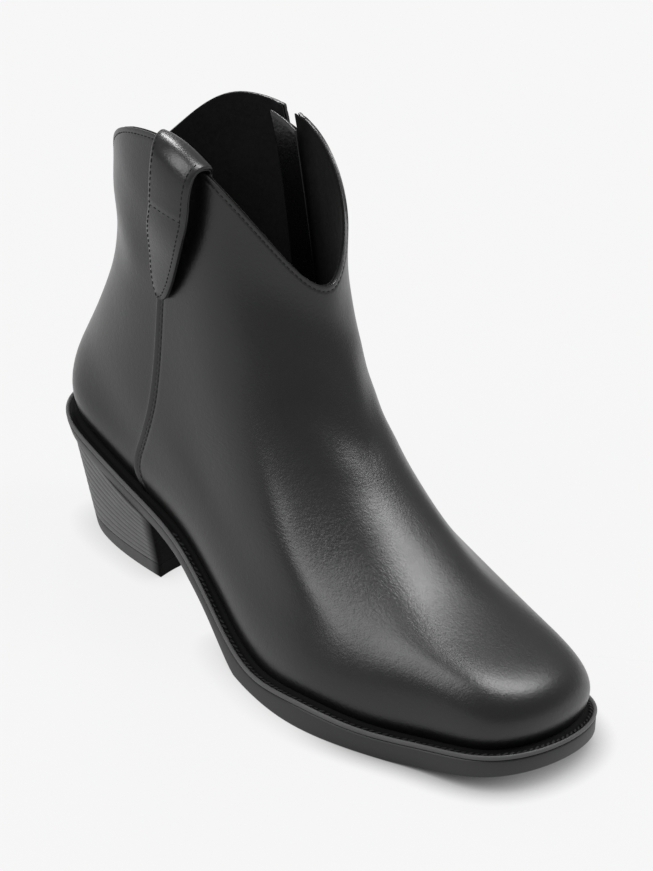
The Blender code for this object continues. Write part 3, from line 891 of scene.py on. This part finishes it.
def bead_rows(name, lines, pitch, size, material, slant=0.0, uneven=0.0, seed=1):
    """A piece of beads along lines, each line given as its points in mm and the way out at each of them."""
    points = np.concatenate([line for line, _ in lines])
    edges, first = [], 0
    for line, _ in lines:
        edges += [(first + i, first + i + 1) for i in range(len(line) - 1)]
        first += len(line)
    mesh = bpy.data.meshes.new(name)
    mesh.from_pydata(in_frame(points).tolist(), edges, [])
    out = mesh.attributes.new("out", "FLOAT_VECTOR", "POINT")
    normals = np.concatenate([normals for _, normals in lines])
    out.data.foreach_set("vector", normals.astype(np.float32).ravel())
    guide = bpy.data.objects.new(name + "_line", mesh)
    bpy.context.scene.collection.objects.link(guide)
    tree = row_tree()
    modifier = guide.modifiers.new("beads", "NODES")
    modifier.node_group = tree
    values = {
        "Pitch": pitch * MM, "Size": [side * MM for side in size], "Slant": slant,
        "Unevenness": uneven, "Seed": seed, "Finish": material,
    }
    for item in tree.interface.items_tree:
        if item.in_out == "INPUT" and item.name in values:
            modifier[item.identifier] = values[item.name]
    graph = bpy.context.evaluated_depsgraph_get()
    made = bpy.data.meshes.new_from_object(guide.evaluated_get(graph), depsgraph=graph)
    bpy.data.objects.remove(guide)
    made.name = name
    piece = bpy.data.objects.new(name, made)
    bpy.context.scene.collection.objects.link(piece)
    return piece


def shell_grid(shares, counts, seam_places, slot_count):
    """Angles of a grid round the upper, with more columns at the seam and the zip, and the slot's faces."""
    share = shares[:, None]
    seam, zip_line = side_line("seam_x", share), side_line("zip_x", share)
    at_seam = angle_at(seam + seam_places, share)
    margin = np.array((14, 10, 8, 7.2, 6.5, 5.8, 5, 4.4))
    into = angle_at(zip_line + margin, share, inner=True)
    slot = angle_at(zip_line + np.linspace(SLOT_HALF, -SLOT_HALF, slot_count + 1), share, inner=True)
    out_of = angle_at(zip_line - margin[::-1], share, inner=True)

    def run(start, end, count):
        return mix(start, end, np.arange(count) / count)

    back, front, behind = counts
    half = np.full_like(share, np.pi)
    angle = np.concatenate((
        run(np.zeros_like(share), at_seam[:, :1], back),
        at_seam,
        run(at_seam[:, -1:], half, front)[:, 1:],
        run(half, into[:, :1], behind),
        into,
        slot,
        out_of,
        run(out_of[:, -1:], np.full_like(share, TURN), back)[:, 1:],
    ), axis=1)
    first = angle.shape[1] - (back - 1) - out_of.shape[1] - slot.shape[1]
    cut = {(row, first + c) for row in np.flatnonzero(shares >= ZIP_FOOT) for c in range(slot_count)}
    return angle, cut


def raise_foot(points, angle, gap, thick):
    """Lifts a shell's lowest row so that its whole thickness clears the welt."""
    points[0, :, 2] += gap + thick * np.maximum(outward(angle[0], 0)[:, 2], 0)


class BOOT_OT_upper(bpy.types.Operator):
    """Outer leather with its lapped side seam, zip slot and creases"""

    bl_idname = "boot.upper"
    bl_label = "Upper Leather"

    def execute(self, context):
        thick = context.scene.boot_sizes.leather / MM
        shares = np.unique(np.concatenate((
            np.linspace(0, 0.04, 8), np.linspace(0.04, 0.30, 46), np.linspace(0.30, 0.94, 58),
            np.linspace(0.94, 1, 17), (ZIP_FOOT,),
        )))
        between = (-8, -6, -3.15, -2.95, -2.75, 3.4, 5.0)
        places = np.unique(np.concatenate((SEAM_PROFILE["from_seam"], between)))
        angle, cut = shell_grid(shares, (26, 112, 84), places, 5)
        share = np.broadcast_to(shares[:, None], angle.shape)
        points = wall(angle, share, leather_lift(angle, share))
        raise_foot(points, angle, 0.15, thick)
        faces = grid_faces(len(shares), angle.shape[1], closed=True, skip=cut)
        upper = new_piece("upper_leather", points, faces, finish_of("upper leather"))
        wrinkle = np.zeros(angle.shape)
        for turn, height, radius in WRINKLES:
            away = np.linalg.norm(points - skin(np.radians(turn), height), axis=-1)
            wrinkle = np.maximum(wrinkle, np.exp(-(away / radius)**2))
        add_attribute(upper, "wrinkle", wrinkle)
        thicken(upper, thick)
        round_edges(upper, 0.3)
        dress(upper, "black_leather", "upper")
        return {"FINISHED"}


class BOOT_OT_lining(bpy.types.Operator):
    """Suede lining behind the leather, its cut edge showing at the collar"""

    bl_idname = "boot.lining"
    bl_label = "Suede Lining"

    def execute(self, context):
        sizes = context.scene.boot_sizes
        thick = sizes.leather / MM
        shares = np.unique(np.concatenate((
            np.linspace(0, 0.9, 50), np.linspace(0.9, 1, 14), (ZIP_FOOT,),
        )))
        angle, cut = shell_grid(shares, (20, 60, 48), np.array((-8.0, -4, -1, 2, 6)), 5)
        share = np.broadcast_to(shares[:, None], angle.shape)
        x = side_view(angle, share)[0]
        step = np.where(
            angle < np.pi,
            ease((x - side_line("seam_x", share) + 4) / 6),
            ease((x - side_line("zip_x", share)) / (2 * SLOT_HALF) + 0.5),
        ) * PANEL_STEP
        places = skin(angle, share)
        fuzz = unevenness(places, 2.4, 0.12) + unevenness(places, 0.9, 0.08)
        lift = step - thick - 0.12 + creases(angle, share) * 0.6
        over_tape = (angle > np.pi) * (1 - ease((np.abs(x - side_line("zip_x", share)) - 6) / 4))
        lift = mix(lift, np.minimum(lift, -1.9), over_tape * ease((share - 0.08) / 0.05))
        points = wall(angle, share, lift - np.abs(fuzz))
        raise_foot(points, angle, 0.5, WALL)
        points[-1, :, 2] += fuzz[-1] * 1.5
        faces = grid_faces(len(shares), angle.shape[1], closed=True, skip=cut)
        lining = new_piece("suede_lining", points, faces, finish_of("suede lining"))
        thicken(lining, sizes.lining / MM)
        round_edges(lining, 0.25)
        dress(lining, "black_leather")
        return {"FINISHED"}


def loop_base(t, across):
    """Inner face of the pull loop: t counts along its table, across runs from its rear to its front edge."""
    knots = np.arange(len(PULL_LOOP["share"]), dtype=float)
    share, lift, rear, front = (curve(knots, PULL_LOOP[column], t) for column in PULL_LOOP)
    x = side_line("seam_x", share) + mix(rear, front, across)
    share, lift = np.broadcast_to(share, x.shape), np.broadcast_to(lift, x.shape)
    return wall(angle_at(x, np.minimum(share, 1)), share, lift + GAP), front - rear


LOOP_LAST = len(PULL_LOOP["share"]) - 1.0
LOOP_CROSS = (9.6, 9.34)

# In mm: the pull loop's thickness, its crown, its layer above the cross row, the rounding of its edges, and
# where the collar's row stops on either side of it, from the seam
LOOP_THICK = 2.1
LOOP_CROWN = 0.45
LOOP_LAYER = 0.4
LOOP_ROUNDING = (0.75, 0.3)
LOOP_STOPS = (-7.5, 19.5)


def loop_point(t, across, height):
    """A place in the pull loop's thickness, measured off its inner face."""
    small = 1e-3
    base = loop_base(t, across)[0]
    along = loop_base(np.minimum(t + small, LOOP_LAST), across)[0] - loop_base(t - small, across)[0]
    aside = loop_base(t, across + small)[0] - loop_base(t, across - small)[0]
    normal = np.cross(along, aside)
    normal = normal / np.linalg.norm(normal, axis=-1, keepdims=True)
    return base + normal * np.asarray(height)[..., None], normal


def loop_top(t, across):
    """Height of the pull loop's outer face: crowned, and one layer thicker above the slanting cross row."""
    crown = LOOP_CROWN * (1 - (2 * across - 1)**2)
    upper_layer = LOOP_LAYER * ease((mix(*LOOP_CROSS, across) - t) / 0.22)
    return LOOP_THICK + crown + upper_layer


class BOOT_OT_pull_loop(bpy.types.Operator):
    """Folded leather pull loop on the outer side, two layers with a line between them"""

    bl_idname = "boot.pull_loop"
    bl_label = "Pull Loop"

    def execute(self, context):
        t = np.concatenate((np.linspace(0, 4, 30), np.linspace(4, LOOP_LAST, 84)[1:]))[:, None]
        width = loop_base(t, np.zeros(1))[1]
        middle = np.linspace(0, 1, 15)[1:-1]
        inner, outer = (np.minimum(inset / width, 0.2) for inset in LOOP_ROUNDING)
        face = mix(inner + 0.02, 1 - inner - 0.02, middle)
        across = np.concatenate((outer, inner, face, 1 - inner, 1 - outer), axis=1)
        top = loop_top(t, across)
        top[:, [0, -1]] -= 0.22
        levels = np.array((0.78, 0.56, 0.5, 0.44, 0.22))
        depths = np.array((0.02, 0.0, 0.22, 0.0, 0.02)) / width
        edge = loop_top(t, np.zeros(1)) * levels
        under = across[:, ::-1]
        low = np.zeros_like(under)
        low[:, [0, -1]] = 0.2
        ring_across = np.concatenate((across, 1 - depths, under, depths), axis=1)
        ring_height = np.concatenate((top, edge, low, edge[:, ::-1]), axis=1)
        points, _ = loop_point(t, ring_across, ring_height)
        rows, columns = ring_across.shape
        faces = turned(grid_faces(rows, columns, closed=True))
        faces += [tuple(range(columns)), tuple((rows - 1) * columns + c for c in range(columns))[::-1]]
        loop = new_piece("pull_loop_leather", points, faces, finish_of("strap leather"))
        dress(loop, "black_leather", "pull_loop")
        return {"FINISHED"}


class BOOT_OT_sole(bpy.types.Operator):
    """Welt with its rounded lip and moulded row, and the outsole under it"""

    bl_idname = "boot.sole"
    bl_label = "Welt and Outsole"

    def execute(self, context):
        sizes = context.scene.boot_sizes
        loops = []
        for out, down in zip(WELT_PROFILE["out"], WELT_PROFILE["down"]):
            outline = plan_outline(WELT_OUT + out)
            loops.append(np.column_stack((outline, welt_top(outline[:, 0]) - down)))
        welt = stack_piece("welt_strip", loops, finish_of("welt rubber"))
        # Shade painted on: the welt's recessed channel inside its lip is made dark in colour.
        channel = [float(out < WELT_CHANNEL) for out in WELT_PROFILE["out"]]
        add_attribute(welt, "painted_shade", np.repeat(channel, len(loops[0])))
        dress(welt, "black_rubber", "welt")

        ridge = plan_outline(WELT_OUT + WELT_RIDGE, 720)
        ridge = np.column_stack((ridge, welt_top(ridge[:, 0]) - WELT_RIDGE_DOWN))
        ridge = ridge[ridge[:, 0] > sizes.welt_row_from / MM]
        up = np.tile((0.0, 0.0, 1.0), (len(ridge), 1))
        row = bead_rows("welt_row", [(ridge, up)], sizes.welt_pitch / MM, WELT_MARK,
                        finish_of("welt rubber"), slant=0.45, uneven=0.3, seed=4)
        # Shade painted onto the welt's row too, as it lies in the dark channel.
        add_attribute(row, "painted_shade", np.full(len(row.data.vertices), WELT_ROW_PAINTED_SHADE))
        dress(row, "black_rubber")

        loops = []
        top = plan_outline(mix(OUTSOLE_OUT, WELT_OUT, 0.7))
        for inset, down in zip(OUTSOLE_PROFILE["inset"], OUTSOLE_PROFILE["down"]):
            outline = mix(top, sole_edge(), down) + (plan_outline(-inset) - plan_outline(0))
            high = welt_top(outline[:, 0]) - LIP_DOWN - 0.05
            loops.append(np.column_stack((outline, mix(high, underside(outline[:, 0]), down))))
        outsole = stack_piece("outsole_rubber", loops, finish_of("sole rubber"))
        dress(outsole, "black_rubber", "outsole")
        return {"FINISHED"}


def heel_outline(down, inset=0.0):
    """The heel's outline in plan at this share of the way down: back, outer side, breast, inner side."""
    back, front, half, square = (float(curve(HEEL["down"], HEEL[column], down)) for column in list(HEEL)[1:])
    back, half = back + inset, half - inset
    turn = np.linspace(0, np.pi / 2, HEEL_SIDE_COUNT)
    power = 2 / square
    x = front - (front - back) * np.abs(np.cos(turn)) ** power
    y = -half * np.sin(turn) ** power
    x[-1] = front
    over = np.linspace(0, 1, 9)[1:]
    x = np.concatenate((x, front - BREAST_HOLLOW * (1 - (1 - over)**2)))
    y = np.concatenate((y, -half * (1 - over)))
    return np.column_stack((np.concatenate((x, x[-2:0:-1])), np.concatenate((y, -y[-2:0:-1]))))


def with_ends(loops):
    """The loops with a smaller one inside the first and the last, so that both ends close flat."""
    first, last = (mix(loop, loop.mean(axis=0), 0.5) for loop in (loops[0], loops[-1]))
    return [first, *loops, last]


def paint_heel_shade(piece, loops, rows):
    """Paints shade on a heel piece: darkens each row by its own share, and its breast from corner to corner.
    """
    count = len(loops[0])
    breast = np.abs(np.arange(count) - count / 2) < count / 2 - HEEL_SIDE_COUNT + 1.5
    add_attribute(piece, "painted_shade", np.maximum(np.repeat(rows, count), np.tile(breast, len(loops))))


class BOOT_OT_heel(bpy.types.Operator):
    """Stacked heel with its fine lines, and the top piece it stands on"""

    bl_idname = "boot.heel"
    bl_label = "Heel"

    def execute(self, context):
        sizes = context.scene.boot_sizes
        layers, depth = sizes.heel_layers, sizes.heel_line / MM
        rows = [(0.0, 0.5), (0.06, 0.12)]
        for layer in range(layers):
            rows += [(layer + 0.16, 0.0), (layer + 0.5, -0.03), (layer + 0.84, 0.0), (layer + 1, depth)]
        rows[-1] = (layers, 0.35)
        loops = []
        for place, inset in rows:
            down = place / layers
            outline = heel_outline(down * TOP_PIECE_FROM, inset)
            height = mix(underside(outline[:, 0]) - 0.1, TOP_PIECE_THICK + 0.15, down)
            loops.append(np.column_stack((outline, height)))
        loops = with_ends(loops)
        block = stack_piece("heel_stack", loops, finish_of("heel rubber"))
        # Shade painted into the heel's recessed lines and onto its breast.
        paint_heel_shade(block, loops, [0, *(HEEL_LINE_PAINTED_SHADE * (inset > 0.1) for _, inset in rows), 0])
        dress(block, "black_rubber", "heel_block")
        loops = []
        for down, inset, height in TOP_PIECE_PROFILE:
            outline = heel_outline(down, inset)
            loops.append(np.column_stack((outline, np.full(len(outline), height))))
        loops = with_ends(loops)
        top_piece = stack_piece("heel_top_lift", loops, finish_of("heel rubber"))
        # The top piece is darker all over by its own share, with shade painted on its breast.
        paint_heel_shade(top_piece, loops, np.full(len(loops), TOP_PIECE_SHADE))
        dress(top_piece, "black_rubber", "heel_top_piece")
        return {"FINISHED"}


class BOOT_OT_insole(bpy.types.Operator):
    """Insole board with its thin cover"""

    bl_idname = "boot.insole"
    bl_label = "Insole"

    def execute(self, context):
        loops = []
        for inset, rise in INSOLE_PROFILE:
            outline = plan_outline(-INSOLE_INSET - inset)
            loops.append(np.column_stack((outline, welt_top(outline[:, 0]) + GAP + rise * INSOLE_THICK)))
        insole = stack_piece("insole_board", loops, finish_of("insole cover"))
        dress(insole, "insole_leather", "insole")
        return {"FINISHED"}


def zip_frame(share):
    """Placement on the zip in mm: x across it, y down along it, z out of the boot."""
    places = np.array((share, share - 0.01, share + 0.01))
    angles = angle_at(side_line("zip_x", places), places, inner=True)
    middle, below, above = skin(angles, places)
    out = outward(angles[0], share)
    down = below - above
    down = down - out * (down @ out)
    down = down / np.linalg.norm(down)
    return np.column_stack((np.cross(down, out), down, out)), middle


def on_zip(points, offset=(0, 0, 0)):
    """Places given across, down and out of the zip at its slider."""
    turn, middle = zip_frame(SLIDER_AT)
    return (np.asarray(points, float) + offset) @ turn.T + middle


def rounded_rectangle(width, length, radius, count=10):
    """A loop of points round the origin."""
    loop = []
    for x, y, start in ((1, 1, 0), (-1, 1, 90), (-1, -1, 180), (1, -1, 270)):
        turn = np.radians(start + np.linspace(0, 90, count))
        corner = np.array((x * (width / 2 - radius), y * (length / 2 - radius)))
        loop.append(corner + radius * np.column_stack((np.cos(turn), np.sin(turn))))
    return np.concatenate(loop)


def plate(outline, low, high):
    """Points and faces of a plate with this outline."""
    count = len(outline)
    points = np.concatenate([np.column_stack((outline, np.full(count, level))) for level in (low, high)])
    faces = [tuple(range(count))[::-1], tuple(range(count, 2 * count))]
    faces += [(i, (i + 1) % count, count + (i + 1) % count, count + i) for i in range(count)]
    return points, faces


class BOOT_OT_zip(bpy.types.Operator):
    """Zip on the inner side: tape, teeth, slider, hanging pull and the leather guard behind them"""

    bl_idname = "boot.zip"
    bl_label = "Zip"

    def execute(self, context):
        for name, strip in ZIP_STRIPS.items():
            self.add_strip(name, strip)
        self.add_teeth(context.scene.boot_sizes.tooth_pitch / MM)
        self.add_slider()
        self.add_pull()
        return {"FINISHED"}

    def add_strip(self, name, strip):
        share = np.linspace(strip["foot"], strip["head"], 60)[:, None]
        across = np.linspace(1, 0, 17)
        from_zip = mix(*strip["edges"], across)
        x = side_line("zip_x", share) + from_zip
        share = np.broadcast_to(share, x.shape)
        depth = np.broadcast_to(mix(*strip["depths"], across), x.shape)
        points = wall(angle_at(x, share, inner=True), share, -depth)
        piece = new_piece(name + "_strip", points, grid_faces(*x.shape), finish_of(strip["finish"]))
        add_uv(piece, "strip", np.stack((np.broadcast_to(from_zip, x.shape), points[..., 2]), axis=-1))
        thicken(piece, strip["thick"])
        round_edges(piece, 0.2)
        dress(piece, strip["slot"], name)

    def add_teeth(self, pitch):
        """Two rows that mesh, half a tooth apart, and part above the slider."""
        lines = []
        for side, start in ((1, 0.0), (-1, 0.5)):
            share = np.linspace(TEETH_FOOT + start * 0.011, TEETH_HEAD, 160)
            spread = 0.8 + 30 * np.maximum(share - 0.92, 0)
            angle = angle_at(side_line("zip_x", share) + side * spread, share, inner=True)
            lines.append((wall(angle, share, -0.8), outward(angle, share)))
        teeth = bead_rows("zip_teeth_rows", lines, pitch, TOOTH_SIZE, finish_of("zip plating"))
        dress(teeth, "zip_fabric", "zip_teeth")

    def add_slider(self):
        """Two plates with a neck between them, and the bridge that holds the pull."""
        low, high = SLIDER_PLATES
        parts = [plate(np.array(SLIDER_OUTLINE), *levels) for levels in SLIDER_PLATES]
        parts.append(plate(rounded_rectangle(2.2, 4.6, 0.9, 4) - (0, 2.4), low[1], high[0]))
        parts.append(self.bridge())
        points, faces, first = [], [], 0
        for part_points, part_faces in parts:
            points.append(part_points)
            faces += [tuple(first + i for i in face) for face in part_faces]
            first += len(part_points)
        places = on_zip(np.concatenate(points))
        slider = new_piece("zip_slider_body", places, faces, finish_of("zip plating"), smooth=False)
        self.set_outward(slider)
        round_edges(slider, 0.22, angle=30)
        dress(slider, "zip_metal", "zip_slider")

    def bridge(self):
        half_width, half_thick = (side / 2 for side in BRIDGE_SIZE)
        path = np.column_stack((BRIDGE["down"], BRIDGE["out"]))
        run = np.gradient(path, axis=0)
        aside = np.column_stack((-run[:, 1], run[:, 0])) / np.linalg.norm(run, axis=1)[:, None] * half_thick
        ring = [(side * half_width, *(place + way * offset)) for place, offset in zip(path, aside)
                for side, way in ((-1, -1), (1, -1), (1, 1), (-1, 1))]
        last = 4 * (len(path) - 1)
        faces = turned(grid_faces(len(path), 4, closed=True))
        faces += [(0, 1, 2, 3), (last + 3, last + 2, last + 1, last)]
        return np.array(ring), faces

    def add_pull(self):
        """The leaf that hangs from the bridge by its eye."""
        width, length, thick = PULL_SIZE
        outer = rounded_rectangle(width, length, 1.6) + (0, (length - PULL_BAR) / 2)
        outer[:, 0] *= 1 - 0.12 * ease((outer[:, 1] - 2) / length)
        eye = rounded_rectangle(*EYE_SIZE, 1.2) + (0, (EYE_SIZE[1] + PULL_BAR) / 2)
        count = len(outer)
        loops = [np.column_stack((loop, np.full(count, level))) for loop, level in
                 ((outer, thick / 2), (outer, -thick / 2), (eye, -thick / 2), (eye, thick / 2))]
        faces = [tuple(reversed((r * count + c, r * count + (c + 1) % count,
                                 (r + 1) % 4 * count + (c + 1) % count, (r + 1) % 4 * count + c)))
                 for r in range(4) for c in range(count)]
        places = on_zip(np.concatenate(loops), (0, HINGE_DOWN, HINGE_OUT))
        pull = new_piece("zip_pull_leaf", places, faces, finish_of("zip plating"), smooth=False)
        self.set_outward(pull)
        round_edges(pull, 0.2, angle=40)
        dress(pull, "zip_metal", "zip_pull", body="zip_pull_tab")

    def set_outward(self, piece):
        shape = bmesh.new()
        shape.from_mesh(piece.data)
        bmesh.ops.recalc_face_normals(shape, faces=shape.faces)
        shape.to_mesh(piece.data)
        shape.free()


class BOOT_OT_stitching(bpy.types.Operator):
    """Sewn rows: round the collar, down the side seam, round the pull loop and beside the zip"""

    bl_idname = "boot.stitching"
    bl_label = "Stitching"

    def execute(self, context):
        sizes = context.scene.boot_sizes

        def on_leather(angle, share):
            return wall(angle, share, leather_lift(angle, share) + 0.02), outward(angle, share)

        lines = []
        drop = sizes.collar_row / MM
        rim = 0.985
        rear = angle_at(side_line("zip_x", rim) - SLOT_HALF - 1.5, rim, inner=True) - TURN
        ahead = angle_at(side_line("zip_x", rim) + SLOT_HALF + 1.5, rim, inner=True)
        loop_edges = side_line("seam_x", rim) + np.array(LOOP_STOPS)
        loop_rear, loop_front = angle_at(loop_edges, rim)
        for start, end in ((rear, loop_rear), (loop_front, ahead)):
            angle = np.linspace(start, end, 220)
            lines.append(on_leather(angle, 1 - drop / collar_climb(angle)))
        share = np.linspace(*SEAM_ROW_SPAN, 240)
        for place in SEAM_ROWS:
            lines.append(on_leather(angle_at(side_line("seam_x", share) + place, share), share))
        share = np.linspace(ZIP_FOOT + 0.004, 0.975, 240)
        for place in (-SLOT_HALF - ZIP_ROW_GAP, SLOT_HALF + ZIP_ROW_GAP):
            lines.append(on_leather(angle_at(side_line("zip_x", share) + place, share, inner=True), share))
        t = np.linspace(5.4, LOOP_LAST - 0.25, 160)
        width = loop_base(t, np.zeros(1))[1]
        for inset in (1.35 / width, 1 - 1.9 / width):
            lines.append(loop_point(t, inset, loop_top(t, inset) + 0.02))
        across = np.linspace(0.12, 0.88, 40)
        t = mix(*LOOP_CROSS, across) + 0.02
        lines.append(loop_point(t, across, loop_top(t, across) - 0.05))
        size = (sizes.stitch / MM, sizes.thread / MM, sizes.thread / MM * 0.8)
        rows = bead_rows("sewn_rows", lines, sizes.stitch_pitch / MM, size, finish_of("sewing thread"),
                         uneven=0.12, seed=2)
        dress(rows, "zip_fabric")
        return {"FINISHED"}


class BOOT_OT_stage(bpy.types.Operator):
    """Pale floor, soft boxes and the camera"""

    bl_idname = "boot.stage"
    bl_label = "Stage"

    def execute(self, context):
        scene = context.scene
        corners = np.array(((-1, -1, 0), (1, -1, 0), (1, 1, 0), (-1, 1, 0))) * FLOOR_HALF - SHIFT
        finish = self.floor_finish(scene.boot_colours)
        floor = new_piece("floor", corners, [(0, 1, 2, 3)], finish, smooth=False)
        for name, box in SOFT_BOXES.items():
            data = bpy.data.lights.new(name, "AREA")
            data.shape = "RECTANGLE"
            data.size, data.size_y = box["sides"]
            data.energy = box["power"]
            light = bpy.data.objects.new(name, data)
            light.location = box["place"]
            aim = Vector(box["aim"]) - Vector(box["place"])
            light.rotation_euler = aim.to_track_quat("-Z", "Y").to_euler()
            scene.collection.objects.link(light)
        world = bpy.data.worlds.new("studio")
        world.use_nodes = True
        background = world.node_tree.nodes["Background"]
        background.inputs["Color"].default_value = (1, 1, 1, 1)
        background.inputs["Strength"].default_value = scene.boot_colours.ambient
        scene.world = world
        scene.view_settings.view_transform = "Standard"
        self.add_camera(scene)
        return {"FINISHED"}

    def floor_finish(self, colours):
        """A pale floor that glows by what the soft boxes leave short of its tone, so that it is even, with a
        contact shadow painted into its glow.
        """
        finish = Finish("pale floor")

        def vector(operation, first, second, output=None):
            settings = {"operation": operation}
            return finish.node("ShaderNodeVectorMath", settings, {0: first, 1: second}, output)

        lit = colours.ambient * FLOOR_DIFFUSE
        for box in SOFT_BOXES.values():
            facing = (Vector(box["place"]) - Vector(box["aim"])).normalized()
            apart = vector("SUBTRACT", box["place"], finish.place)
            square = vector("DOT_PRODUCT", apart, apart, "Value")
            slant = vector("DOT_PRODUCT", apart, facing, "Value")
            strength = FLOOR_DIFFUSE * box["power"] * box["place"][2] / np.pi**2
            lit = lit + slant * strength * square**-2.0
        tone = colours.floor[0]
        # Painted shadow: the glow is dimmed near the boot by how hidden each spot is, less so behind the
        # ball.
        near = finish.node("ShaderNodeAmbientOcclusion", {"samples": 16}, {"Distance": CONTACT_REACH}, "AO")
        x = finish.node("ShaderNodeSeparateXYZ", None, {"Vector": finish.place}, "X")
        painted_shadow = 1 - (1 - near**CONTACT_DEPTH) * mix(CONTACT_BEHIND, 1, x.between(*CONTACT_FROM))
        return finish.surface(
            base_color=(FLOOR_DIFFUSE, FLOOR_DIFFUSE, FLOOR_DIFFUSE, 1),
            roughness=1.0,
            specular_ior_level=0.0,
            emission_color=(tone - lit).math("MAXIMUM", tone - lit, 0.0) * painted_shadow,
            emission_strength=1.0,
        )

    def add_camera(self, scene):
        data = bpy.data.cameras.new("camera")
        data.sensor_width = SENSOR
        data.lens = FOCAL_PIXELS * SENSOR / PICTURE_LONG_SIDE
        camera = bpy.data.objects.new("camera", data)
        turn, rise, roll = np.radians((CAMERA_TURN, CAMERA_RISE, CAMERA_ROLL))
        back = np.array((np.sin(turn) * np.cos(rise), -np.cos(turn) * np.cos(rise), np.sin(rise)))
        right = np.array((np.cos(turn), np.sin(turn), 0))
        up = np.cross(back, right)
        right, up = np.cos(roll) * right + np.sin(roll) * up, np.cos(roll) * up - np.sin(roll) * right
        place = in_frame(np.array(CAMERA_AIM) + back * CAMERA_DISTANCE)[0]
        camera.matrix_world = Matrix((*np.column_stack((right, up, back, place)).tolist(), (0, 0, 0, 1)))
        scene.collection.objects.link(camera)
        scene.camera = camera


def length_property(name, description, default):
    kind = dict(subtype="DISTANCE", unit="LENGTH")
    return FloatProperty(name=name, description=description, default=default, min=0, **kind)


class BootSizes(bpy.types.PropertyGroup):
    """Sizes of the boot's finer parts."""

    leather: length_property("Leather", "Thickness of the upper's outer leather", 0.0013)
    lining: length_property("Lining", "Thickness of the suede lining", 0.0009)
    collar_row: length_property("Collar Row", "From the collar's edge down to its sewn row", 0.0021)
    stitch: length_property("Stitch", "Length of one stitch", 0.0017)
    stitch_pitch: length_property("Stitch Pitch", "From one stitch to the next", 0.0023)
    thread: length_property("Thread", "Thickness of the sewing thread", 0.00055)
    welt_row_from: length_property("Welt Row From", "From the heel's back to the welt's moulded row", 0.085)
    welt_pitch: length_property("Welt Pitch", "From one mark of the welt's moulded row to the next", 0.0026)
    tooth_pitch: length_property("Tooth Pitch", "From one zip tooth to the next", 0.0017)
    heel_line: length_property("Heel Line", "Depth of the lines round the heel", 0.00028)
    heel_layers: IntProperty(name="Heel Layers", description="Layers marked on the heel", default=10, min=2)


def colour_property(name, description, default):
    kind = dict(size=3, min=0, max=1, subtype="COLOR")
    return FloatVectorProperty(name=name, description=description, default=default, **kind)


class BootColours(bpy.types.PropertyGroup):
    """Colours of the boot and its stage."""

    leather: colour_property("Leather", "Dyed leather", (0.002, 0.002, 0.0022))
    suede: colour_property("Suede", "Lining and insole", (0.0022, 0.0022, 0.0022))
    rubber: colour_property("Rubber", "Welt, sole and heel", (0.0155, 0.0155, 0.0157))
    thread: colour_property("Thread", "Sewing thread and zip tape", (0.006, 0.006, 0.006))
    metal: colour_property("Metal", "Zip teeth, slider and pull", (0.07, 0.07, 0.072))
    floor: colour_property("Floor", "Studio floor", (0.93, 0.93, 0.93))
    ambient: FloatProperty(name="Ambient", description="Even light from all round", default=0.4, min=0)


PIECES = (
    BOOT_OT_upper, BOOT_OT_lining, BOOT_OT_pull_loop, BOOT_OT_sole, BOOT_OT_heel, BOOT_OT_insole, BOOT_OT_zip,
    BOOT_OT_stitching, BOOT_OT_stage,
)


class BOOT_PT_dressing(bpy.types.Panel):
    """Lists the boot's sizes, its colours and its pieces"""

    bl_idname = "BOOT_PT_dressing"
    bl_label = "Heeled Boot"
    bl_space_type = "VIEW_3D"
    bl_region_type = "UI"
    bl_category = "Boot"

    def draw(self, context):
        for group in (context.scene.boot_sizes, context.scene.boot_colours):
            column = self.layout.column(align=True)
            for name in group.__annotations__:
                column.prop(group, name)
        for piece in PIECES:
            self.layout.operator(piece.bl_idname)


CLASSES = (BootSizes, BootColours, *PIECES, BOOT_PT_dressing)


def register():
    for cls in CLASSES:
        bpy.utils.register_class(cls)
    bpy.types.Scene.boot_sizes = PointerProperty(type=BootSizes)
    bpy.types.Scene.boot_colours = PointerProperty(type=BootColours)


def unregister():
    del bpy.types.Scene.boot_colours
    del bpy.types.Scene.boot_sizes
    for cls in reversed(CLASSES):
        bpy.utils.unregister_class(cls)


def main():
    register()
    for piece in PIECES:
        name = piece.bl_idname.split(".")[1]
        getattr(bpy.ops.boot, name)()


if __name__ == "__main__":
    main()
